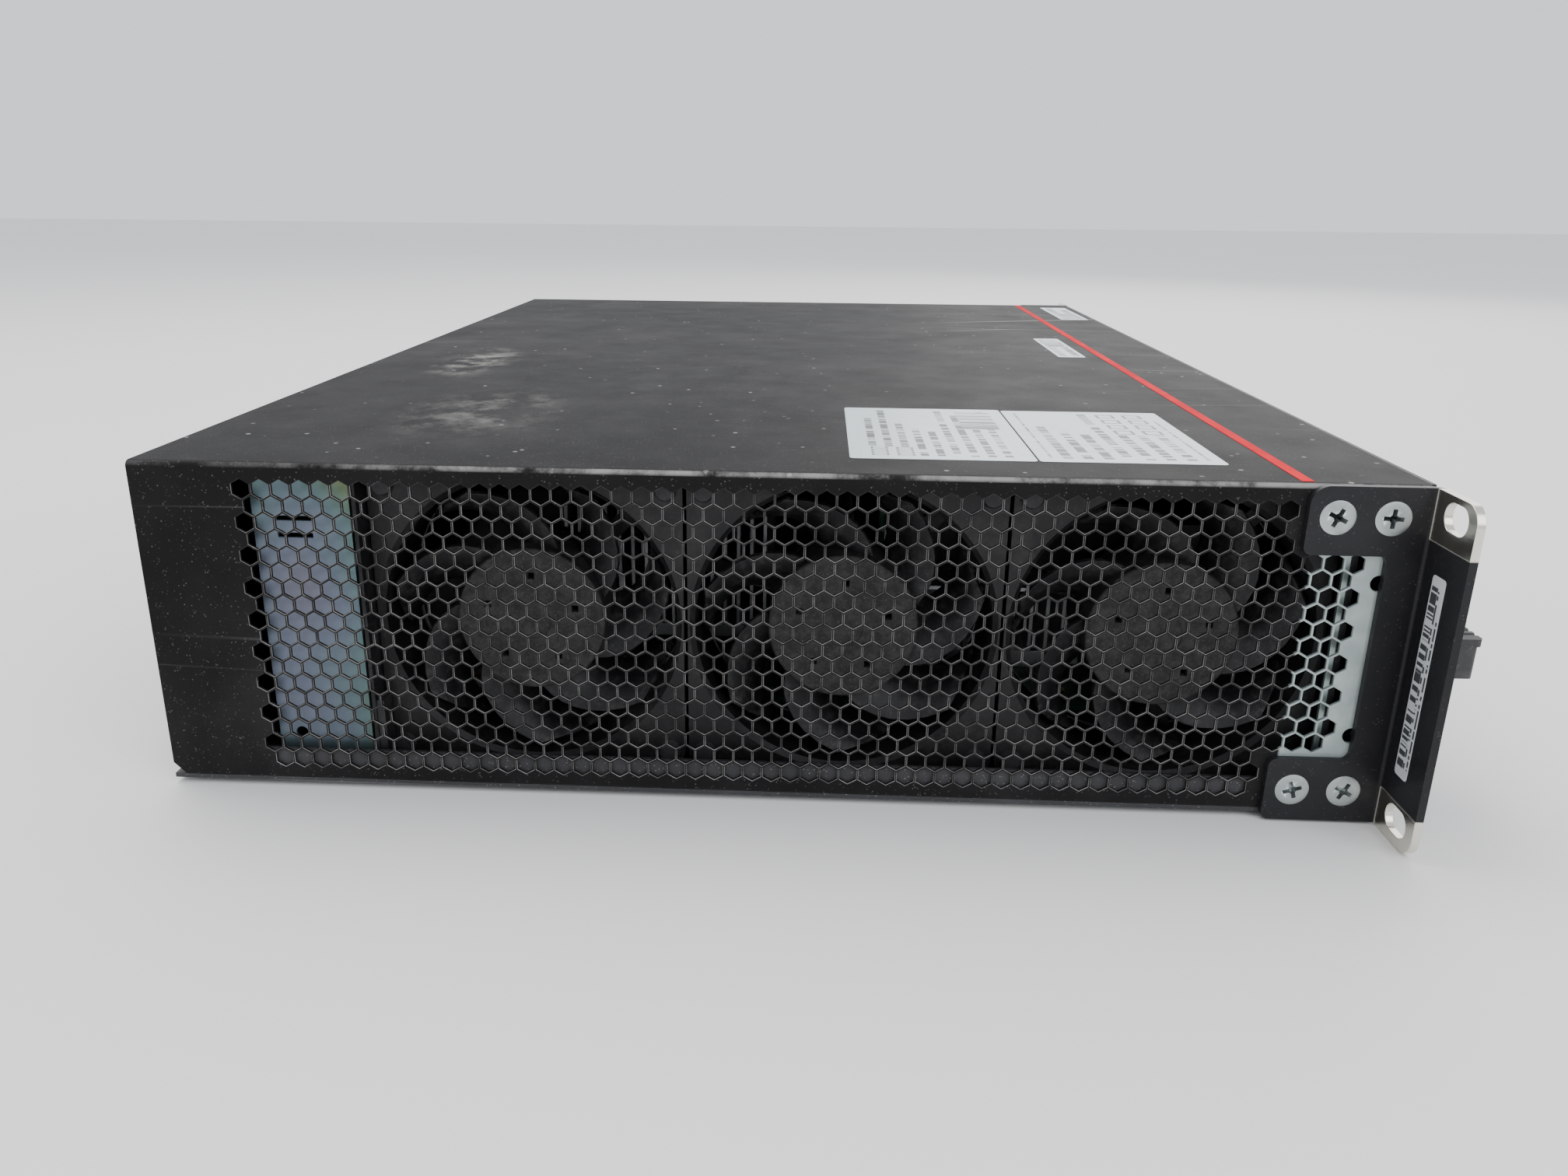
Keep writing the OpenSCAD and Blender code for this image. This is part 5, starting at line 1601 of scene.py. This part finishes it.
@dataclass
class EarScrews:
    """The eight countersunk screws that hold the ears, each with a cross recess.

    Attributes:
        head: Radius of a head.
        head_depth: Depth of a head.
        shank: Radius of a shank.
        length: Length of a screw.
        arm: Length of a recess's arm.
        turns: How far each screw's cross is turned, in degrees, from the rear upper one.
    """

    head: float = 4.3 * MM
    head_depth: float = 1.7 * MM
    shank: float = 1.95 * MM
    length: float = 5.6 * MM
    arm: float = 2.5 * MM
    turns: tuple[float, ...] = (2.0, 25.0, 28.0, -18.0)

    def screw(self) -> bpy.types.Object:
        """One screw along X, its head's face at X = 0 and its shank towards +X."""
        head = Bench.rod("screw", (0, 0, 0), (self.head_depth, 0, 0), self.head, 48, 2.3 * MM)
        Bench.pick(head, Element.FACE, lambda centre, normal: normal.x < -0.9)
        bpy.ops.mesh.inset(thickness=0.5 * MM)
        bpy.ops.transform.translate(value=(-0.16 * MM, 0.0, 0.0))
        bpy.ops.mesh.inset(thickness=0.9 * MM)
        bpy.ops.transform.translate(value=(-0.07 * MM, 0.0, 0.0))
        Bench.clear()
        start = (self.head_depth - 0.2 * MM, 0, 0)
        shank = Bench.rod("shank", start, (self.length, 0, 0), self.shank, 24)
        Bench.cut(head, shank, "UNION")
        for turn in (0, 90):
            wing = Bench.block(
                "wing", (-0.6 * MM, -0.55 * MM, -self.arm), (1.9 * MM, 0.55 * MM, self.arm)
            )
            Bench.pick(wing, Element.FACE, lambda centre, normal: normal.x > 0.9)
            bpy.ops.transform.resize(value=(1.0, 0.7, 0.62), center_override=(0.0, 0.0, 0.0))
            Bench.clear()
            wing.data.transform(Matrix.Rotation(math.radians(turn), 4, "X"))
            Bench.cut(head, wing)
        cone = Bench.rod("cone", (-0.5 * MM, 0, 0), (2.1 * MM, 0, 0), 1.15 * MM, 24, 0.3 * MM)
        Bench.cut(head, cone)
        return Bench.soften(head, 0.05 * MM, 2)

    def build(self) -> None:
        """Places the eight screws and fits them."""
        low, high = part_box("ear_screws")
        pattern = self.screw()
        inset = self.head + 0.05 * MM
        places = [
            (y, z)
            for z in (high.z - inset, low.z + inset)
            for y in (low.y + inset, high.y - inset)
        ]
        screws = []
        for side in Side:
            for turn, (y, z) in zip(self.turns, places):
                screw = Bench.copy(pattern, "screw")
                screw.data.transform(Matrix.Rotation(math.radians(turn), 4, "X"))
                if side is Side.RIGHT:
                    screw.data.transform(Matrix.Rotation(math.pi, 4, "Z"))
                x = side.value * (high.x - 0.28 * MM)
                screw.data.transform(Matrix.Translation((x, y, z)))
                screws.append(screw)
        bpy.data.objects.remove(pattern)
        joined = Bench.join("ear_screw_set", *screws)
        fit(joined, Body.CHASSIS, SCREW_ZINC, ("ear_screws",))


# ---------------------------------------------------------------- ears


@dataclass
class Ears:
    """The two rack ears, bent sheets that are screwed to the chassis sides.

    Attributes:
        sheet: Thickness of an ear.
        bend: Inner radius of the bend.
    """

    sheet: float = 2.0 * MM
    bend: float = 0.9 * MM

    def build(self) -> None:
        """Models both ears and fits them."""
        for side in Side:
            node = f"{side.name.lower()}_ear"
            low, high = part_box(node)
            outer = high.x if side is Side.LEFT else low.x
            inner = outer + side.value * self.sheet
            piece = Bench.from_node(node, f"{node}_piece")
            for x, y, width in (
                (outer, low.y, self.bend + self.sheet),
                (inner, low.y + self.sheet, self.bend),
            ):
                Bench.pick(
                    piece,
                    Element.EDGE,
                    lambda a, b: all(
                        abs(end.x - x) < 0.02 * MM and abs(end.y - y) < 0.02 * MM for end in (a, b)
                    ),
                )
                bpy.ops.mesh.bevel(offset=width, segments=5)
                Bench.clear()
            Bench.soften(piece, 0.16 * MM)
            fit(piece, Body.CHASSIS, EAR_COAT, (node,))


# ---------------------------------------------------------------- films and stripe


@dataclass
class Films:
    """The films stuck to the cover and the ear: labels, stickers and the red stripe.

    Attributes:
        thick: Thickness of a film.
        corner: Rounding of its corners.
        ear_sheet: Thickness of the ear under the serial strip.
    """

    thick: float = 0.12 * MM
    corner: float = 1.2 * MM
    ear_sheet: float = 2.0 * MM

    def film(
        self, name: str, low: Point, high: Point, finish: Finish, thin: int, corner: float
    ) -> None:
        """One film with round corners.

        Args:
            name: The name of the piece.
            low: Its lowest corner.
            high: Its highest corner.
            finish: Its finish.
            thin: The index of the axis that it is thin along.
            corner: Rounding of its corners.
        """
        piece = Bench.block(name, low, high)
        Bench.pick(
            piece, Element.EDGE, lambda a, b: abs(a[thin] - b[thin]) > self.thick * 0.9
        )
        bpy.ops.mesh.bevel(offset=corner, segments=4)
        Bench.clear()
        Bench.soften(piece, 0.03 * MM, 1)
        fit(piece, Body.CHASSIS, finish)

    def build(self) -> None:
        """Lays every film."""
        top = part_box("top_cover")[1].z
        for name, box, rows, bars, boxes in (
            ("inspection_label", (-0.203, -0.131, -0.068, -0.021), 11, (0.56, 0.92, 0.08, 0.3),
             (0.05, 0.2, 0.62, 0.9)),
            ("rating_label", (-0.203, -0.132, -0.115, -0.0685), 9, (0.0, 0.0, 0.0, 0.0),
             (0.5, 0.95, 0.1, 0.44)),
            ("small_sticker", (-0.006, 0.056, -0.121, -0.11), 2, (0.5, 0.92, 0.2, 0.8),
             (0.0, 0.0, 0.0, 0.0)),
            ("corner_sticker", (0.141, 0.205, -0.153, -0.139), 2, (0.08, 0.5, 0.2, 0.8),
             (0.0, 0.0, 0.0, 0.0)),
        ):
            x0, x1, y0, y1 = box
            finish = Film(
                name, "cover_black", corner=(x0, y0, top), size=(x1 - x0, y1 - y0), rows=rows,
                bars=bars, boxes=boxes,
            )
            self.film(name, (x0, y0, top), (x1, y1, top + self.thick), finish, 2, self.corner)
        self.film(
            "red_stripe", (-0.219, -0.1295, top), (0.2165, -0.1265, top + self.thick),
            STRIPE_FILM, 2, 0.6 * MM,
        )
        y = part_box("left_ear")[0].y + self.ear_sheet
        serial = Film(
            "serial_film", "frame_black", corner=(-0.234, y, 0.0175), size=(0.051, 0.006),
            along="z", across="x", rows=4, bars=(0.05, 0.95, 0.45, 0.92), ground=(0.7, 0.72, 0.74),
            bar_count=112,
        )
        low, high = (-0.234, y, 0.0175), (-0.228, y + self.thick, 0.0685)
        self.film("serial_strip", low, high, serial, 1, 1.0 * MM)


# ---------------------------------------------------------------- ports


@dataclass
class Contacts:
    """The eight sprung contacts inside each network jack.

    Attributes:
        jack_pitch: Distance between neighbouring jacks.
        pitch: Distance between neighbouring contacts.
        wire: Width of a contact.
        length: Length of a contact.
        drop: How far a contact falls towards the rear, and how deep it starts below the jack.
        set_back: How far behind the jack's front it starts.
        count: How many contacts a jack has.
    """

    jack_pitch: float = 14.0 * MM
    pitch: float = 1.02 * MM
    wire: float = 0.4 * MM
    length: float = 9.0 * MM
    drop: float = 3.2 * MM
    set_back: float = 2.0 * MM
    count: int = 8

    def comb(self) -> bpy.types.Object:
        """The contacts of one jack, sloping down to the rear from its front middle."""
        half = self.wire / 2
        wire = Bench.block("wire", (-half, 0, -self.wire), (half, self.length, 0))
        Bench.pick(wire, Element.FACE, lambda centre, normal: normal.y > 0.9)
        bpy.ops.transform.translate(value=(0.0, 0.0, -self.drop))
        bpy.ops.mesh.extrude_region_move(
            TRANSFORM_OT_translate={"value": (0.0, 0.8 * MM, -1.2 * MM)}
        )
        Bench.clear()
        Bench.modify(
            wire, "ARRAY", count=self.count, use_relative_offset=False,
            use_constant_offset=True, constant_offset_displace=(self.pitch, 0.0, 0.0),
        )
        middle = (self.count - 1) / 2
        wire.data.transform(Matrix.Translation((-middle * self.pitch, 0.0, 0.0)))
        return wire

    def build(self) -> None:
        """Puts contacts in every jack."""
        for body, nodes in (
            (Body.CHASSIS, ("port_gang_left", "port_gang_right", "console_port")),
            (Body.CARD, ("card_ports",)),
        ):
            combs = []
            for node in nodes:
                low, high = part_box(node)
                spans = [(low.x, high.x)]
                if node == "card_ports":
                    pair = 2 * self.jack_pitch
                    spans = [(low.x, low.x + pair), (high.x - pair, high.x)]
                for start, end in spans:
                    for number in range(round((end - start) / self.jack_pitch)):
                        comb = self.comb()
                        x = start + (number + 0.5) * self.jack_pitch
                        place = (x, low.y + self.set_back, high.z - self.drop)
                        comb.data.transform(Matrix.Translation(place))
                        combs.append(comb)
            joined = Bench.join(f"{body.value}_contacts", *combs)
            Bench.soften(joined, 0.0)
            fit(joined, body, GOLD_PLATE)


# ---------------------------------------------------------------- the rest of the frame


@dataclass
class Rounded:
    """A frame node whose own shape is kept, with its edges rounded.

    Attributes:
        node: The node.
        body: The body that it rides on.
        finish: Its finish.
        width: Rounding of its edges.
    """

    node: str
    body: Body
    finish: Finish
    width: float = 0.15 * MM


ROUNDED: tuple[Rounded, ...] = (
    Rounded("base_pan", Body.CHASSIS, FLOOR_COAT),
    Rounded("front_panel", Body.CHASSIS, FRAME_COAT),
    Rounded("rear_panel", Body.CHASSIS, FRAME_COAT, 0.1 * MM),
    Rounded("dock_bracket", Body.CHASSIS, YELLOW_ZINC, 0.12 * MM),
    Rounded("fan_bay_wall", Body.CHASSIS, BARE_ZINC, 0.1 * MM),
    Rounded("psu_cage", Body.CHASSIS, BARE_ZINC, 0.1 * MM),
    Rounded("slot_blank", Body.CHASSIS, FRAME_COAT, 0.25 * MM),
    Rounded("port_gang_left", Body.CHASSIS, JACK_STEEL),
    Rounded("port_gang_right", Body.CHASSIS, JACK_STEEL),
    Rounded("module_cages", Body.CHASSIS, JACK_STEEL),
    Rounded("console_port", Body.CHASSIS, JACK_STEEL),
    Rounded("usb_port", Body.CHASSIS, JACK_STEEL),
    Rounded("feet", Body.CHASSIS, RUBBER, 0.4 * MM),
    Rounded("processor_heat_sink", Body.CHASSIS, SINK_METAL),
    Rounded("switch_heat_sink", Body.CHASSIS, SINK_METAL),
    Rounded("ground_stud", Body.CHASSIS, BRASS, 0.2 * MM),
    Rounded("panel_screws", Body.CHASSIS, SCREW_ZINC, 0.12 * MM),
    Rounded("dock_socket", Body.CHASSIS, IVORY_PLASTIC, 0.25 * MM),
    Rounded("tray_frame", Body.TRAY, TRAY_DARK, 0.12 * MM),
    Rounded("tray_faceplate", Body.TRAY, FRAME_COAT, 0.25 * MM),
    Rounded("tray_handle", Body.TRAY, HANDLE_PLASTIC, 0.7 * MM),
    Rounded("upper_thumbscrew", Body.UPPER_THUMB, SCREW_ZINC, 0.12 * MM),
    Rounded("lower_thumbscrew", Body.LOWER_THUMB, SCREW_ZINC, 0.12 * MM),
    Rounded("lower_psu_case", Body.LOWER_PSU, PSU_ZINC, 0.15 * MM),
    Rounded("upper_psu_case", Body.UPPER_PSU, PSU_ZINC, 0.15 * MM),
    Rounded("lower_psu_inlet", Body.LOWER_PSU, INLET_PLASTIC, 0.4 * MM),
    Rounded("upper_psu_inlet", Body.UPPER_PSU, INLET_PLASTIC, 0.4 * MM),
    Rounded("lower_psu_handle", Body.LOWER_PSU, HANDLE_PLASTIC, 0.9 * MM),
    Rounded("upper_psu_handle", Body.UPPER_PSU, HANDLE_PLASTIC, 0.9 * MM),
    Rounded("lower_psu_latch", Body.LOWER_LATCH, LATCH_PLASTIC, 0.4 * MM),
    Rounded("upper_psu_latch", Body.UPPER_LATCH, LATCH_PLASTIC, 0.4 * MM),
    Rounded("card_body", Body.CARD, FRAME_COAT, 0.2 * MM),
    Rounded("card_ports", Body.CARD, JACK_STEEL),
    Rounded("card_lever_left", Body.LEFT_LEVER, SCREW_ZINC, 0.3 * MM),
    Rounded("card_lever_right", Body.RIGHT_LEVER, SCREW_ZINC, 0.3 * MM),
    Rounded("reset_button", Body.RESET, IVORY_PLASTIC, 0.3 * MM),
)


def dress_nodes() -> None:
    """Gives every frame node that still shows the finish of its material slot."""
    for name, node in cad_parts.items():
        for slot in node.material_slots:
            if slot.material and slot.material.name.split(".")[0] in PLAIN_FINISHES:
                slot.material = PLAIN_FINISHES[slot.material.name.split(".")[0]].material()
        log.info("%-22s dressed", name)


# ---------------------------------------------------------------- studio


@dataclass
class Studio:
    """A pale floor, soft light and the camera.

    Attributes:
        eye: The camera's place.
        aim: The camera's turn in degrees.
        lens: Its focal length in millimetres.
        shift: Its sideways shift.
    """

    eye: Point = (-0.497358, -0.011890, 0.152185)
    aim: Point = (71.3245, -0.4810, -87.1082)
    lens: float = 27.296
    shift: float = 0.01744

    def floor(self) -> None:
        """The floor that the feet stand on."""
        Bench.clear()
        bpy.ops.mesh.primitive_plane_add(size=9.0, location=(0.0, 0.0, 0.0))
        floor = Bench.settle(Bench.name("studio_floor"))
        graph = Graph("studio_floor")
        cloud = graph.noise(0.3, 4.0)
        graph.set(
            Base_Color=graph.mix(cloud, (0.8, 0.8, 0.79), (0.84, 0.84, 0.83)),
            Roughness=0.55 + 0.1 * cloud,
        )
        floor.data.materials.append(graph.material)

    @staticmethod
    def lamp(name: str, place: Point, aim: Point, size: float, power: float, tint: Colour) -> None:
        """One soft square lamp that points at a place."""
        lamp = bpy.data.lights.new(name, "AREA")
        lamp.size, lamp.energy, lamp.color = size, power, tint
        holder = bpy.data.objects.new(name, lamp)
        bpy.context.scene.collection.objects.link(holder)
        holder.location = place
        holder.rotation_euler = (Vector(aim) - Vector(place)).to_track_quat("-Z", "Y").to_euler()

    def build(self) -> None:
        """Sets up the floor, the lamps, the surroundings and the camera."""
        self.floor()
        world = bpy.data.worlds.new("studio_air")
        world.use_nodes = True
        world.node_tree.nodes["Background"].inputs["Color"].default_value = (0.93, 0.96, 1.0, 1.0)
        world.node_tree.nodes["Background"].inputs["Strength"].default_value = 1.15
        bpy.context.scene.world = world
        self.lamp("over", (0.25, 0.5, 1.5), (0.0, 0.0, 0.05), 1.1, 18.0, (1.0, 0.98, 0.95))
        self.lamp("side", (-1.1, -0.7, 0.8), (-0.2, 0.0, 0.05), 0.9, 7.0, (0.95, 0.97, 1.0))
        self.lamp("far", (1.2, -0.6, 0.9), (0.1, 0.0, 0.08), 1.2, 9.0, (1.0, 0.98, 0.96))
        camera = bpy.data.cameras.new("camera")
        camera.lens, camera.sensor_width = self.lens, 36.0
        camera.shift_x = self.shift
        camera.clip_start, camera.clip_end = 0.01, 20.0
        holder = bpy.data.objects.new("camera", camera)
        bpy.context.scene.collection.objects.link(holder)
        holder.location = self.eye
        holder.rotation_euler = [math.radians(angle) for angle in self.aim]
        bpy.context.scene.camera = holder


def main() -> None:
    """Builds the pieces in order, then the studio."""
    Studio().build()
    Cover().build()
    Ears().build()
    EarScrews().build()
    Fans().build()
    Films().build()
    Contacts().build()
    for piece in ROUNDED:
        soft_node(piece.node, piece.body, piece.finish, piece.width)
    dress_nodes()


if __name__ == "__main__":
    logging.basicConfig(level=logging.INFO, format="%(message)s")
    main()
